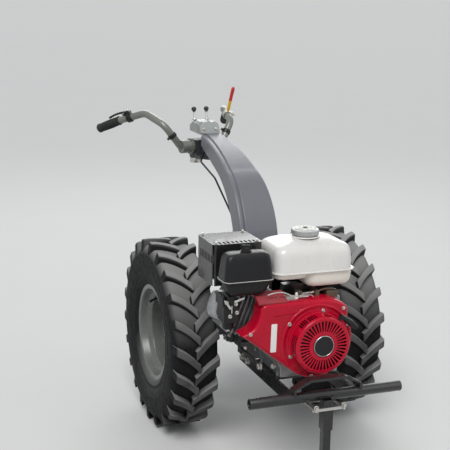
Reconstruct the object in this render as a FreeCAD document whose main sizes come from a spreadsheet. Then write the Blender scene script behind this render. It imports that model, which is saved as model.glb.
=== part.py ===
import FreeCAD, Part
import math
import os

import Sketcher

# Walking tractor: two driven wheels, an engine ahead of the axle, a cranked column and handlebars.
# Millimetres. X runs across the machine, the engine points to -Y, Z is up from the ground.
# Pieces are drawn with the wheel axis at Y = 0; at the end all are moved along Y by one amount,
# so that the origin lies on the ground under the middle of the machine.

SIZES = {
    "Wheels": {
        "track": 600,
        "tyre_radius": 325,
        "tyre_width": 160,
        "tread_width": 124,
        "lug_height": 20,
        "lug_count": 22,
        "lug_width": 36,
        "lug_sweep": 66,
        "lug_inner": -8,
        "lug_outer": 77,
        "lug_draft": 4,
        "sidewall_radius": 262,
        "carcass_sides": 33,
        "bead_radius": 152,
        "bead_clearance": 2,
        "rim_width": 124,
        "rim_flange_height": 16,
        "rim_metal": 4,
        "rim_sides": 44,
        "rim_well_width": 52,
        "rim_well_depth": 20,
        "disc_metal": 6,
        "disc_dish": 24,
        "opening_count": 6,
        "opening_radius": 25,
        "opening_circle_radius": 95,
        "hub_flange_radius": 62,
        "hub_flange_length": 12,
        "hub_spigot_radius": 35,
        "hub_spigot_length": 22,
        "axle_radius": 22,
        "axle_inner_x": 88,
        "axle_clearance": 0.05,
        "axle_tube_wall": 13,
        "axle_tube_gap": 3,
        "axle_flange_radius": 62,
        "axle_flange_length": 12,
    },
    "Gearbox": {
        "gearbox_width": 130,
        "gearbox_boss_length": 10,
        "gearbox_boss_radius": 66,
        "gearbox_front_y": -180,
        "gearbox_flange_length": 26,
        "gearbox_flange_bottom": 278,
        "gearbox_flange_top": 541,
        "gearbox_top": 470,
        "gearbox_bottom": 254,
        "gearbox_rear_y": 150,
        "gearbox_rear_height": 160,
        "gearbox_rear_rise": 18,
        "gearbox_top_setback": 20,
        "gearbox_flange_margin": 6,
        "casting_round": 12,
        # The height of the shaft's axis above the hitch's ears
        "pto_height": 56,
        "pto_radius": 46,
        "pto_length": 22,
        "pto_shaft_radius": 12.5,
        "pto_shaft_length": 34,
        "hitch_height": 296,
        "hitch_width": 84,
        "hitch_reach": 92,
        "hitch_ear_gap": 44,
        "hitch_ear_metal": 12,
        "hitch_pin_radius": 12.5,
        "hitch_pin_setback": 32,
    },
    "Engine": {
        "crank_height": 441,
        "engine_base": 308,
        "engine_top": 560,
        "engine_half_width": 105,
        "engine_front_y": -500,
        "engine_back_y": -320,
        "cylinder_tilt": 20,
        "cylinder_y": -415,
        "crankcase_reach": 118,
        "crankcase_foot_x": -92,
        "crankcase_foot_rise": 30,
        "joint_half_height": 68,
        "barrel_size": 92,
        "barrel_length": 144,
        "fin_size": 130,
        "fin_metal": 3.5,
        "fin_pitch": 15,
        "fin_count": 9,
        "valve_cover_length": 58,
        "valve_cover_size": 104,
        "valve_cover_depth": 84,
        "valve_cover_round": 26,
        "clutch_engine_radius": 112,
        "clutch_gearbox_radius": 96,
        "clutch_flange_length": 14,
        "clutch_flange_lip": 8,
        "clutch_sides": 36,
        "shroud_depth": 60,
        "shroud_wall": 2.5,
        "shroud_ring_radius": 122,
        "shroud_top_z": 132,
        "shroud_tip_x": -248,
        "shroud_tip_z": 38,
        "shroud_neck_x": -206,
        "shroud_neck_z": 56,
        "shroud_throat_x": -190,
        "shroud_throat_z": 86,
        "shroud_shoulder_x": -185,
        "shroud_crest_x": 40,
        "shroud_corner_x": 108,
        "shroud_corner_z": 100,
        "shroud_foot_x": -74,
        "shroud_foot_z": -118,
        "starter_radius": 92,
        "starter_depth": 52,
        "starter_wall": 3,
        "starter_flange_radius": 104,
        "starter_flange_metal": 5,
        "slot_count": 40,
        "slot_width": 7,
        "slot_inner_radius": 45,
        "slot_outer_radius": 79,
        "vent_first_angle": -16,
        "vent_second_angle": 20,
        "vent_third_angle": 41,
        "vent_width": 3.5,
        "vent_pitch": 7,
        "vent_length": 20,
        "vent_setback": 15,
        "badge_radius": 33,
        "badge_metal": 4,
        "pull_angle": 52,
        "pull_reach": 52,
        "pull_drop": 40,
        "pull_radius": 7,
        "pull_flare": 1.5,
        "pull_belly": 0.6,
        "pull_sides": 12,
        "pull_setback": 14,
    },
    "Tank": {
        "tank_left_x": -138,
        "tank_width": 279,
        "tank_front_y": -545,
        "tank_length": 200,
        # Heights, each above the one before: the bottom, the seam, the shoulder and the top
        "tank_bottom": 603,
        "tank_seam": 52,
        "tank_shoulder": 78,
        "tank_top": 19,
        "tank_crown_half_width": 50,
        "tank_draft": 5,
        "tank_round": 22,
        "seam_lip": 8,
        "seam_metal": 5,
        "bracket_inset": 30,
        "bracket_width": 26,
        "cap_x": 0,
        "cap_y": -449,
        "cap_radius": 44,
        "cap_height": 22,
        "cap_neck_radius": 36,
        "cap_neck_height": 6,
    },
    "Intake and exhaust": {
        "cleaner_left_x": -300,
        "cleaner_width": 158,
        "cleaner_front_y": -552,
        "cleaner_depth": 84,
        "cleaner_bottom": 596,
        "cleaner_seam": 643,
        "cleaner_top": 732,
        "cleaner_inset": 5,
        "cleaner_round": 14,
        "knob_radius": 13,
        "knob_height": 10,
        "knob_wing_length": 34,
        "knob_wing_metal": 7,
        "knob_wing_height": 14,
        "carburettor_left_x": -298,
        "carburettor_width": 62,
        "carburettor_depth": 44,
        "carburettor_bottom": 508,
        "bowl_radius": 19,
        "bowl_height": 26,
        "insulator_inset": 4,
        "insulator_size": 40,
        "linkage_plate_metal": 3,
        "linkage_plate_width": 96,
        "linkage_plate_length": 40,
        "linkage_rod_radius": 2.5,
        "muffler_left_x": -300,
        "muffler_width": 150,
        "muffler_front_y": -448,
        "muffler_length": 134,
        "muffler_bottom": 622,
        "muffler_top": 722,
        "muffler_round": 18,
        "exhaust_radius": 17,
        "exhaust_reach": 238,
        "exhaust_drop": 22,
        "guard_gap": 6,
        "guard_metal": 2,
        "guard_top": 742,
        "guard_bottom": 612,
        "guard_slot_count": 10,
        "guard_slot_width": 7,
        "guard_slot_pitch": 14,
        "guard_slot_length": 24,
        "guard_side_count": 8,
        "guard_side_rise": 70,
        "guard_post_radius": 6,
    },
    "Engine frame": {
        "rail_x": 100,
        "rail_metal": 8,
        "rail_height": 44,
        "frame_plate_metal": 6,
        "frame_plate_half_width": 106,
        "frame_back_metal": 10,
        "bar_y": -642,
        "bar_height": 295,
        "bar_radius": 17,
        "bar_wall": 3,
        "bar_half_length": 253,
        "hoop_half_width": 115,
        "hoop_half_top": 60,
        "hoop_rise": 59,
        "hoop_metal": 9,
        "hoop_seat": 8,
        "hoop_leg": 30,
        "hoop_depth": 32,
        "post_x": -14,
        "post_size": 32,
        "post_wall": 3,
        "post_top": 296,
        "post_bottom": 199,
        "clamp_half_width": 54,
        "clamp_height": 9,
        "clamp_metal": 6,
        "clamp_bolt_x": 46,
        "clamp_bolt_radius": 4,
        "clamp_bolt_drop": 24,
        "clamp_bolt_end": 8,
        "leg_clearance": 0.5,
        "leg_wall": 3,
        "leg_top": 272,
        "foot_width": 96,
        "foot_length": 74,
        "foot_metal": 8,
    },
    "Column": {
        "column_base_y": -100,
        "column_knee_y": -72,
        "column_knee_z": 670,
        "column_bend_y": 115,
        "column_bend_z": 861,
        "column_end_y": 428,
        "column_end_z": 940,
        "column_low_sag": 24,
        "column_high_sag": 12,
        "column_base_depth": 110,
        "column_inner_z": 670,
        "column_inner_bend_y": 207,
        "column_inner_bend_z": 834,
        "column_inner_sag": 17,
        "column_end_depth": 42,
        "column_base_width": 145,
        "column_end_width": 80,
        "column_wall": 3.5,
        "band_metal": 3,
        "band_inset": 13,
        "band_shift": 9,
        "spine_base_y": -45,
        "spine_knee_y": -28,
        "spine_knee_z": 690,
        "spine_bend_y": 70,
        "spine_bend_z": 800,
        "spine_end_z": 882,
        "spine_radius": 16,
        "spine_bend_radius": 60,
        "head_y": 462,
        "head_radius": 22,
        "head_bottom": 852,
        "head_top": 937,
        "swivel_radius": 12,
        "swivel_clearance": 0.05,
        "console_width": 80,
        "console_front_y": 442,
        "console_length": 122,
        "console_height": 42,
        "console_front_height": 14,
        "console_back_height": 30,
        "console_top_setback": 30,
        "console_bevel": 6,
        "console_slot_width": 7,
        "console_slot_length": 46,
        "gear_lever_x": -27,
        "speed_lever_x": 24,
        "lever_y": 540,
        "lever_radius": 4,
        "lever_rise": 42,
        "lever_lean": 16,
        "lever_ball_radius": 10,
        "lever_ball_sides": 12,
        "cable_radius": 3.5,
        "cable_bend_radius": 45,
    },
    "Handlebars": {
        "parked_swing": 11.4,
        "yoke_gap": 1,
        "yoke_metal": 12,
        "yoke_half_width": 36,
        "yoke_block_front": 27,
        "yoke_block_back": 79,
        "yoke_block_height": 26,
        "crosspiece_back": 52,
        "crosspiece_height": 884,
        "crosspiece_radius": 17,
        "crosspiece_clearance": 0.05,
        "boss_inner_x": 42,
        "boss_outer_x": 90,
        "boss_radius": 25,
        "collar_radius": 31,
        "collar_length": 10,
        "tube_radius": 14,
        "tube_bend_radius": 50,
        "tube_rise_x": 150,
        "tube_rise_y": 76,
        "tube_rise_z": 968,
        "tube_crest_x": 178,
        "tube_crest_y": 180,
        "tube_crest_z": 1004,
        "tube_fall_x": 243,
        "tube_fall_y": 262,
        "tube_fall_z": 970,
        "tube_end_x": 290,
        "tube_end_y": 352,
        "tube_end_z": 929,
        "grip_radius": 18,
        "grip_length": 112,
        "grip_cap": 5,
        "lever_ring_share": 0.5,
        "clutch_lever_rise": 114,
        "clutch_lever_lean": 44,
        "clutch_lever_radius": 6,
        "lever_ring_metal": 4,
        "lever_ring_length": 18,
        "lock_knob_radius": 20,
        "lock_knob_height": 18,
    },
}


class Size:
    """A length or angle with its value and the sheet expression that gives it."""

    def __init__(self, value, text):
        self.value = value
        self.text = text

    def __float__(self):
        return self.value

    def __add__(self, other):
        other = as_size(other)
        return Size(self.value + other.value, f"({self.text} + {other.text})")

    def __radd__(self, other):
        return as_size(other) + self

    def __sub__(self, other):
        other = as_size(other)
        return Size(self.value - other.value, f"({self.text} - {other.text})")

    def __rsub__(self, other):
        return as_size(other) - self

    def __mul__(self, other):
        other = as_size(other)
        return Size(self.value * other.value, f"({self.text} * {other.text})")

    def __rmul__(self, other):
        return as_size(other) * self

    def __truediv__(self, other):
        other = as_size(other)
        return Size(self.value / other.value, f"({self.text} / {other.text})")

    def __rtruediv__(self, other):
        return as_size(other) / self

    def __neg__(self):
        return Size(-self.value, f"(0 - {self.text})")


def as_size(number):
    return number if isinstance(number, Size) else Size(float(number), repr(float(number)))


def sine(angle):
    return Size(math.sin(math.radians(angle.value)), f"sin({angle.text} * 1deg)")


def cosine(angle):
    return Size(math.cos(math.radians(angle.value)), f"cos({angle.text} * 1deg)")


def tangent(angle):
    return Size(math.tan(math.radians(angle.value)), f"tan({angle.text} * 1deg)")


class Sheet:
    """Reads every driving dimension back from the spreadsheet as a Size."""

    def __init__(self, doc):
        sheet = doc.addObject("Spreadsheet::Sheet", "Sizes")
        row = 1
        for group, entries in SIZES.items():
            sheet.set(f"A{row}", group)
            row += 1
            for alias, value in entries.items():
                sheet.set(f"B{row}", alias.replace("_", " "))
                sheet.set(f"C{row}", str(value))
                sheet.setAlias(f"C{row}", alias)
                row += 1
        doc.recompute()
        for entries in SIZES.values():
            for alias in entries:
                setattr(self, alias, Size(float(sheet.get(alias)), f"Sizes.{alias}"))


DOC = FreeCAD.newDocument("WalkingTractor")
S = Sheet(DOC)
Vector = FreeCAD.Vector
PIECES = []


def bind(thing, path, size):
    thing.setExpression(path, as_size(size).text)


def keep(thing, node):
    """Marks an object as one of the machine's pieces."""
    thing.Label = node
    PIECES.append(thing)
    return thing


def new_body(name, x=0, y=0, z=0):
    body = DOC.addObject("PartDesign::Body", name)
    for letter, place in (("x", x), ("y", y), ("z", z)):
        if isinstance(place, Size):
            bind(body, f"Placement.Base.{letter}", place)
    return body


def turn(thing, axis, angle):
    """Turns an object about an axis through its own origin."""
    thing.Placement = FreeCAD.Placement(thing.Placement.Base, FreeCAD.Rotation(axis, float(angle)))
    bind(thing, "Placement.Rotation.Angle", angle)


def origin_feature(body, role):
    return next(item for item in body.Origin.OriginFeatures if item.Role == role)


def new_sketch(body, name, plane, lift=0):
    """A sketch on one of the body's own planes, lifted along the plane's normal."""
    sketch = body.newObject("Sketcher::SketchObject", name)
    sketch.AttachmentSupport = [(origin_feature(body, plane), "")]
    sketch.MapMode = "FlatFace"
    bind(sketch, "AttachmentOffset.Base.z", lift)
    return sketch


def hold_point(sketch, edge, end, across, up):
    """Ties one point of a sketch to its distances from the sketch's origin."""
    for kind, place in (("DistanceX", across), ("DistanceY", up)):
        place = as_size(place)
        number = sketch.addConstraint(Sketcher.Constraint(kind, -1, 1, edge, end, place.value))
        sketch.setExpression(f"Constraints[{number}]", place.text)


def sketch_vector(across, up):
    return Vector(float(across), float(up), 0)


def draw_outline(sketch, corners):
    """A closed outline. A corner is (across, up), or (across, up, via across, via up) where
    the edge that leaves it is an arc through the via point."""
    first = sketch.GeometryCount
    ends = []
    for index, corner in enumerate(corners):
        after = corners[(index + 1) % len(corners)]
        start = sketch_vector(corner[0], corner[1])
        finish = sketch_vector(after[0], after[1])
        if len(corner) == 2:
            edge = sketch.addGeometry(Part.LineSegment(start, finish), False)
            ends.append((edge, 1, 2))
            continue
        via = sketch_vector(corner[2], corner[3])
        edge = sketch.addGeometry(Part.Arc(start, via, finish), False)
        turns_left = (via - start).cross(finish - via).z > 0
        ends.append((edge, 1, 2) if turns_left else (edge, 2, 1))
        mark = sketch.addGeometry(Part.Point(via), True)
        sketch.addConstraint(Sketcher.Constraint("PointOnObject", mark, 1, edge))
        hold_point(sketch, mark, 1, corner[2], corner[3])
    for index, corner in enumerate(corners):
        edge, start, _ = ends[index]
        before, _, finish = ends[index - 1]
        sketch.addConstraint(Sketcher.Constraint("Coincident", before, finish, edge, start))
        hold_point(sketch, edge, start, corner[0], corner[1])
    return first


def draw_circle(sketch, across, up, radius):
    circle = Part.Circle(sketch_vector(across, up), Vector(0, 0, 1), float(radius))
    edge = sketch.addGeometry(circle, False)
    hold_point(sketch, edge, 3, across, up)
    number = sketch.addConstraint(Sketcher.Constraint("Radius", edge, float(radius)))
    sketch.setExpression(f"Constraints[{number}]", as_size(radius).text)


def rectangle(left, right, low, high):
    return [(left, low), (right, low), (right, high), (left, high)]


def pad(body, sketch, length, draft=None, backwards=False):
    feature = body.newObject("PartDesign::Pad", "Pad")
    feature.Profile = sketch
    feature.Reversed = backwards
    bind(feature, "Length", length)
    if draft is not None:
        bind(feature, "TaperAngle", draft)
    return feature


def pocket(body, sketch, length, backwards=False):
    """Cuts against the sketch's normal, or along it when backwards."""
    feature = body.newObject("PartDesign::Pocket", "Pocket")
    feature.Profile = sketch
    feature.Reversed = backwards
    bind(feature, "Length", length)
    return feature


def spin(body, sketch):
    """Turns a sketch once round its own horizontal axis."""
    feature = body.newObject("PartDesign::Revolution", "Turned")
    feature.Profile = sketch
    feature.ReferenceAxis = (sketch, ["H_Axis"])
    feature.Angle = 360
    return feature


def repeat_round(body, features, axis, count):
    feature = body.newObject("PartDesign::PolarPattern", "Round")
    feature.Originals = features
    feature.Axis = (origin_feature(body, axis), [""])
    feature.Angle = 360
    bind(feature, "Occurrences", count)
    body.Tip = feature
    return feature


def repeat_along(body, features, axis, length, count, backwards=False):
    feature = body.newObject("PartDesign::LinearPattern", "Row")
    feature.Originals = features
    feature.Direction = (origin_feature(body, axis), [""])
    feature.Reversed = backwards
    bind(feature, "Length", length)
    bind(feature, "Occurrences", count)
    body.Tip = feature
    return feature


def pick_edges(body, wanted):
    """The edges of the body's last feature that the test picks by their middle point and
    direction, both in the body's own frame."""
    DOC.recompute()
    base = body.Tip
    names = []
    for index, edge in enumerate(base.Shape.Edges, 1):
        middle = edge.valueAt((edge.FirstParameter + edge.LastParameter) / 2)
        along = edge.tangentAt((edge.FirstParameter + edge.LastParameter) / 2)
        if wanted(middle, along):
            names.append(f"Edge{index}")
    return base, names


def round_edges(body, radius, wanted):
    base = pick_edges(body, wanted)
    feature = body.newObject("PartDesign::Fillet", "Fillet")
    feature.Base = base
    bind(feature, "Radius", radius)
    return feature


def bevel_edges(body, size, wanted):
    base = pick_edges(body, wanted)
    feature = body.newObject("PartDesign::Chamfer", "Bevel")
    feature.Base = base
    bind(feature, "Size", size)
    return feature


def is_along(direction, axis):
    return abs(direction.dot(axis)) > 0.99


def bent_path(points, bend_radius):
    """Straight runs joined by arcs that meet them tangentially."""
    points = [Vector(*[float(value) for value in point]) for point in points]
    edges = []
    start = points[0]
    for before, corner, after in zip(points, points[1:], points[2:]):
        toward = (before - corner).normalize()
        away = (after - corner).normalize()
        half_angle = toward.getAngle(away) / 2
        setback = float(bend_radius) / math.tan(half_angle)
        bisector = (toward + away).normalize()
        centre = corner + bisector * (float(bend_radius) / math.sin(half_angle))
        enter = corner + toward * setback
        leave = corner + away * setback
        middle = centre - bisector * float(bend_radius)
        edges.append(Part.LineSegment(start, enter).toShape())
        edges.append(Part.Arc(enter, middle, leave).toShape())
        start = leave
    edges.append(Part.LineSegment(start, points[-1]).toShape())
    return Part.Wire(edges)


def bent_rod(points, radius, bend_radius):
    path = bent_path(points, bend_radius)
    first = path.Edges[0]
    heading = first.tangentAt(first.FirstParameter)
    ring = Part.Wire(Part.makeCircle(float(radius), first.valueAt(first.FirstParameter), heading))
    return path.makePipeShell([ring], True, False)


def flat_turned(corners, sides):
    """A closed section turned round the X axis in flat steps, for forms that repeat or whose
    cones would mesh very finely. A corner is (along, radius)."""
    sides = round(float(sides))
    corners = [(float(along), float(radius)) for along, radius in corners]

    def place(corner, step):
        turned = math.radians(360 * step / sides)
        return Vector(corner[0], corner[1] * math.sin(turned), corner[1] * math.cos(turned))

    faces = []
    for near, far in zip(corners, corners[1:] + corners[:1]):
        for step in range(sides):
            loop = [place(near, step), place(far, step), place(far, step + 1),
                    place(near, step + 1)]
            if near[1] == 0:
                loop.pop()
            if far[1] == 0:
                loop.pop(1)
            if len(loop) > 2:
                faces.append(Part.Face(Part.makePolygon(loop + loop[:1])))
    solid = Part.makeSolid(Part.makeShell(faces))
    if solid.Volume < 0:
        solid.reverse()
    return solid.removeSplitter()


def turned_base(body, corners, sides):
    """Gives a body such a form to build on."""
    base = DOC.addObject("Part::Feature", "FlatTurned")
    base.Shape = flat_turned(corners, sides)
    body.BaseFeature = base


def pointing(shape, place, heading):
    """Moves a form drawn along X to a place and turns it to a heading."""
    shape.Placement = FreeCAD.Placement(place, FreeCAD.Rotation(Vector(1, 0, 0), heading))
    return shape


def cut_level(shape, z):
    """Trims a rod flat at a level, keeping what stands above it."""
    box = shape.BoundBox
    corner = Vector(box.XMin, box.YMin, box.ZMin)
    below = Part.makeBox(box.XLength, box.YLength, float(z) - box.ZMin, corner)
    return shape.cut(below)


def shape_piece(node, shape, placement=None):
    """A piece whose form is a bent rod or tube, which needs a path in space."""
    thing = DOC.addObject("Part::Feature", node)
    thing.Shape = shape
    if placement is not None:
        thing.Placement = placement
    return keep(thing, node)


def mirrored(points, side):
    return [(side * point[0], point[1], point[2]) for point in points]


# Wheels

def wheel_body(name, side):
    return new_body(name, side * S.track / 2, 0, S.tyre_radius)


def make_tyre(name, side):
    body = wheel_body(name, side)
    half_tread = S.tread_width / 2
    half_width = S.tyre_width / 2
    half_bead = S.rim_width / 2 - S.rim_metal
    carcass = S.tyre_radius - S.lug_height
    flange = S.bead_radius + S.rim_flange_height + S.bead_clearance
    # The middles of the bore's flat steps are at the bead's radius.
    bore = S.bead_radius / cosine(180 / S.carcass_sides)
    turned_base(body, [
        (-half_bead, bore),
        (half_bead, bore),
        (half_bead, flange),
        (half_width, S.sidewall_radius),
        (half_tread, carcass),
        (-half_tread, carcass),
        (-half_width, S.sidewall_radius),
        (-half_bead, flange),
    ], S.carcass_sides)
    # Each lug rises from inside the carcass and tapers. Its flat top is as low as brings the
    # corners to the tyre's radius.
    root = S.sidewall_radius
    taper = (S.tyre_radius - root) * tangent(S.lug_draft)
    half_turn = 180 / S.lug_count
    middle = S.lug_sweep / 2
    half_lug = S.lug_width / 2
    corner = middle + half_lug - 2 * taper
    crown_drop = corner * corner / (2 * S.tyre_radius)
    for hand, tilt in ((1, None), (-1, half_turn)):
        lug = new_sketch(body, "LugOutline", "XY_Plane", root)
        draw_outline(lug, [
            (hand * S.lug_inner, -middle - half_lug),
            (hand * S.lug_outer, middle - half_lug),
            (hand * S.lug_outer, middle + half_lug),
            (hand * S.lug_inner, -middle + half_lug),
        ])
        if tilt is not None:
            lug.AttachmentOffset = FreeCAD.Placement(
                Vector(0, -float(root * sine(tilt)), float(root * cosine(tilt))),
                FreeCAD.Rotation(Vector(1, 0, 0), float(tilt)))
            bind(lug, "AttachmentOffset.Base.y", -(root * sine(tilt)))
            bind(lug, "AttachmentOffset.Base.z", root * cosine(tilt))
            bind(lug, "AttachmentOffset.Rotation.Angle", tilt)
        bar = pad(body, lug, S.tyre_radius - crown_drop - root, draft=-S.lug_draft)
        repeat_round(body, [bar], "X_Axis", S.lug_count)
    return keep(body, name)


def make_rim(name, side):
    body = wheel_body(name, side)
    half = S.rim_width / 2
    well = S.rim_well_width / 2
    seat = S.bead_radius
    floor = seat - S.rim_well_depth
    metal = S.rim_metal
    flange = seat + S.rim_flange_height
    turned_base(body, [
        (-half, seat - metal),
        (-well, floor - metal),
        (well, floor - metal),
        (half, seat - metal),
        (half, flange),
        (half - metal, flange),
        (half - metal, seat),
        (well, floor),
        (-well, floor),
        (-half + metal, seat),
        (-half + metal, flange),
        (-half, flange),
    ], S.rim_sides)
    disc = new_sketch(body, "Disc", "YZ_Plane", -side * S.disc_dish)
    draw_circle(disc, 0, 0, floor - metal / 2)
    draw_circle(disc, 0, 0, S.hub_spigot_radius)
    pad(body, disc, S.disc_metal, backwards=side < 0)
    opening = new_sketch(body, "DiscOpening", "YZ_Plane", -S.rim_width / 2)
    draw_circle(opening, 0, S.opening_circle_radius, S.opening_radius)
    hole = pocket(body, opening, S.rim_width, backwards=True)
    repeat_round(body, [hole], "X_Axis", S.opening_count)
    return keep(body, name)


def make_hub(name, side):
    body = wheel_body(name, side)
    face = side * (0 - S.disc_dish)
    back = face - side * S.hub_flange_length
    inner = side * (S.axle_inner_x - S.track / 2)
    nose = face + side * S.hub_spigot_length
    section = new_sketch(body, "HubSection", "XZ_Plane")
    draw_outline(section, [
        (inner, 0),
        (inner, S.axle_radius),
        (back, S.axle_radius),
        (back, S.hub_flange_radius),
        (face, S.hub_flange_radius),
        (face, S.hub_spigot_radius),
        (nose, S.hub_spigot_radius),
        (nose, 0),
    ])
    spin(body, section)
    return keep(body, name)


def make_axle_tube(name, side):
    body = new_body(name, 0, 0, S.tyre_radius)
    inner = side * (S.gearbox_width / 2 + S.gearbox_boss_length)
    flange = inner + side * S.axle_flange_length
    outer = side * (S.track / 2 - S.disc_dish - S.hub_flange_length - S.axle_tube_gap)
    bore = S.axle_radius + S.axle_clearance
    section = new_sketch(body, "AxleTubeSection", "XZ_Plane")
    draw_outline(section, [
        (inner, bore),
        (inner, S.axle_flange_radius),
        (flange, S.axle_flange_radius),
        (flange, bore + S.axle_tube_wall),
        (outer, bore + S.axle_tube_wall),
        (outer, bore),
    ])
    spin(body, section)
    return keep(body, name)


# Gearbox, clutch housing and hitch

def make_gearbox():
    body = new_body("gearbox")
    half = S.gearbox_width / 2
    flange_back = S.gearbox_front_y + S.gearbox_flange_length
    profile = new_sketch(body, "GearboxProfile", "YZ_Plane", -half)
    draw_outline(profile, [
        (S.gearbox_front_y, S.gearbox_flange_bottom),
        (flange_back, S.gearbox_flange_bottom),
        (-S.gearbox_boss_radius, S.gearbox_bottom),
        (S.gearbox_boss_radius, S.gearbox_bottom),
        (S.gearbox_rear_y, S.gearbox_bottom + S.gearbox_rear_rise),
        (S.gearbox_rear_y, S.gearbox_bottom + S.gearbox_rear_height),
        (S.gearbox_rear_y - S.gearbox_width / 2, S.gearbox_top),
        (flange_back + S.gearbox_top_setback, S.gearbox_top),
        (flange_back, S.gearbox_flange_top),
        (S.gearbox_front_y, S.gearbox_flange_top),
    ])
    pad(body, profile, S.gearbox_width)
    round_edges(body, S.casting_round, lambda middle, along:
                not is_along(along, Vector(1, 0, 0)) and middle.y > float(flange_back) + 1)
    boss = new_sketch(body, "AxleBoss", "YZ_Plane", -half - S.gearbox_boss_length)
    draw_circle(boss, 0, S.tyre_radius, S.gearbox_boss_radius)
    pad(body, boss, S.gearbox_width + 2 * S.gearbox_boss_length)
    flange = new_sketch(body, "FrontFlange", "XZ_Plane", -flange_back)
    side = S.clutch_gearbox_radius + S.gearbox_flange_margin
    draw_outline(flange, rectangle(-side, side, S.gearbox_flange_bottom, S.gearbox_flange_top))
    pad(body, flange, S.gearbox_flange_length)
    return keep(body, "gearbox_housing")


def make_clutch_housing():
    body = new_body("clutch_housing", 0, 0, S.crank_height)
    turn(body, Vector(0, 0, 1), as_size(90))
    front = S.engine_back_y
    back = S.gearbox_front_y
    lip = S.clutch_flange_lip
    turned_base(body, [
        (front, 0),
        (front, S.clutch_engine_radius),
        (front + S.clutch_flange_length, S.clutch_engine_radius),
        (front + S.clutch_flange_length, S.clutch_engine_radius - lip),
        (back - S.clutch_flange_length, S.clutch_gearbox_radius - lip),
        (back - S.clutch_flange_length, S.clutch_gearbox_radius),
        (back, S.clutch_gearbox_radius),
        (back, 0),
    ], S.clutch_sides)
    return keep(body, "clutch_housing")


def make_pto():
    ears_top = S.hitch_height + S.hitch_ear_gap / 2 + S.hitch_ear_metal
    body = new_body("pto_stub", 0, S.gearbox_rear_y, ears_top + S.pto_height)
    section = new_sketch(body, "PtoSection", "YZ_Plane")
    draw_outline(section, [
        (0, 0),
        (0, S.pto_radius),
        (S.pto_length, S.pto_radius),
        (S.pto_length, S.pto_shaft_radius),
        (S.pto_length + S.pto_shaft_length, S.pto_shaft_radius),
        (S.pto_length + S.pto_shaft_length, 0),
    ])
    spin(body, section)
    return keep(body, "pto_stub")


def make_hitch():
    body = new_body("hitch", 0, S.gearbox_rear_y, S.hitch_height)
    half = S.hitch_ear_gap / 2
    outer = half + S.hitch_ear_metal
    profile = new_sketch(body, "HitchProfile", "YZ_Plane", -S.hitch_width / 2)
    draw_outline(profile, [
        (0, -outer),
        (S.hitch_reach, -outer),
        (S.hitch_reach, -half),
        (S.hitch_ear_metal, -half),
        (S.hitch_ear_metal, half),
        (S.hitch_reach, half),
        (S.hitch_reach, outer),
        (0, outer),
    ])
    pad(body, profile, S.hitch_width)
    pin = new_sketch(body, "PinHole", "XY_Plane", -outer)
    draw_circle(pin, 0, S.hitch_reach - S.hitch_pin_setback, S.hitch_pin_radius)
    pocket(body, pin, 2 * outer, backwards=True)
    return keep(body, "rear_hitch")


# Engine

def make_engine_block():
    body = new_body("engine_block", 0, 0, S.crank_height)
    low = S.engine_base - S.crank_height
    high = S.engine_top - S.crank_height
    tilt = S.cylinder_tilt
    reach = S.crankcase_reach
    # The joint with the cylinder is square to its axis, from this corner up to the top.
    joint_x = -reach * cosine(tilt) - S.joint_half_height * sine(tilt)
    joint_z = reach * sine(tilt) - S.joint_half_height * cosine(tilt)
    section = new_sketch(body, "CrankcaseSection", "XZ_Plane", -S.engine_back_y)
    draw_outline(section, [
        (S.crankcase_foot_x, low),
        (S.engine_half_width, low),
        (S.engine_half_width, high),
        (high * tangent(tilt) - reach / cosine(tilt), high),
        (joint_x, joint_z),
        (S.crankcase_foot_x, low + S.crankcase_foot_rise),
    ])
    pad(body, section, S.engine_back_y - S.engine_front_y)
    return keep(body, "engine_block")


def cylinder_body(name):
    body = new_body(name, 0, S.cylinder_y, S.crank_height)
    turn(body, Vector(0, 1, 0), S.cylinder_tilt)
    return body


def make_cylinder():
    body = cylinder_body("cylinder")
    half = S.barrel_size / 2
    end = S.crankcase_reach + S.barrel_length
    core = new_sketch(body, "BarrelSection", "YZ_Plane", -end)
    draw_outline(core, rectangle(-half, half, -half, half))
    pad(body, core, S.barrel_length)
    wide = S.fin_size / 2
    fin = new_sketch(body, "FinSection", "YZ_Plane", -end)
    draw_outline(fin, rectangle(-wide, wide, -wide, wide))
    plate = pad(body, fin, S.fin_metal)
    repeat_along(body, [plate], "X_Axis", S.fin_pitch * (S.fin_count - 1), S.fin_count)
    return keep(body, "cylinder_barrel")


def make_valve_cover():
    """A pressed cover over the rocker gear, well rounded above and below."""
    body = cylinder_body("valve_cover")
    half = S.valve_cover_size / 2
    start = S.crankcase_reach + S.barrel_length
    end = start + S.valve_cover_length
    radius = S.valve_cover_round
    bulge = radius * (1 - cosine(as_size(45)))
    section = new_sketch(body, "ValveCoverSection", "XZ_Plane", -S.valve_cover_depth / 2)
    draw_outline(section, [
        (-start, -half),
        (radius - end, -half, bulge - end, bulge - half),
        (-end, radius - half),
        (-end, half - radius, bulge - end, half - bulge),
        (radius - end, half),
        (-start, half),
    ])
    pad(body, section, S.valve_cover_depth)
    return keep(body, "valve_cover")


def shroud_corners(wall):
    """The duct's outline about the crank axis, drawn in by one wall where wanted."""
    return [
        (S.shroud_foot_x + wall, S.shroud_foot_z + 2 * wall),
        (S.shroud_corner_x - wall, 0),
        (S.shroud_corner_x - wall, S.shroud_corner_z - wall),
        (S.shroud_crest_x, S.shroud_top_z - wall),
        (S.shroud_shoulder_x + wall, S.shroud_top_z - wall),
        (S.shroud_throat_x + wall, S.shroud_throat_z),
        (S.shroud_neck_x + wall, S.shroud_neck_z - wall),
        (S.shroud_tip_x + 2 * wall, S.shroud_tip_z),
    ]


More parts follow.
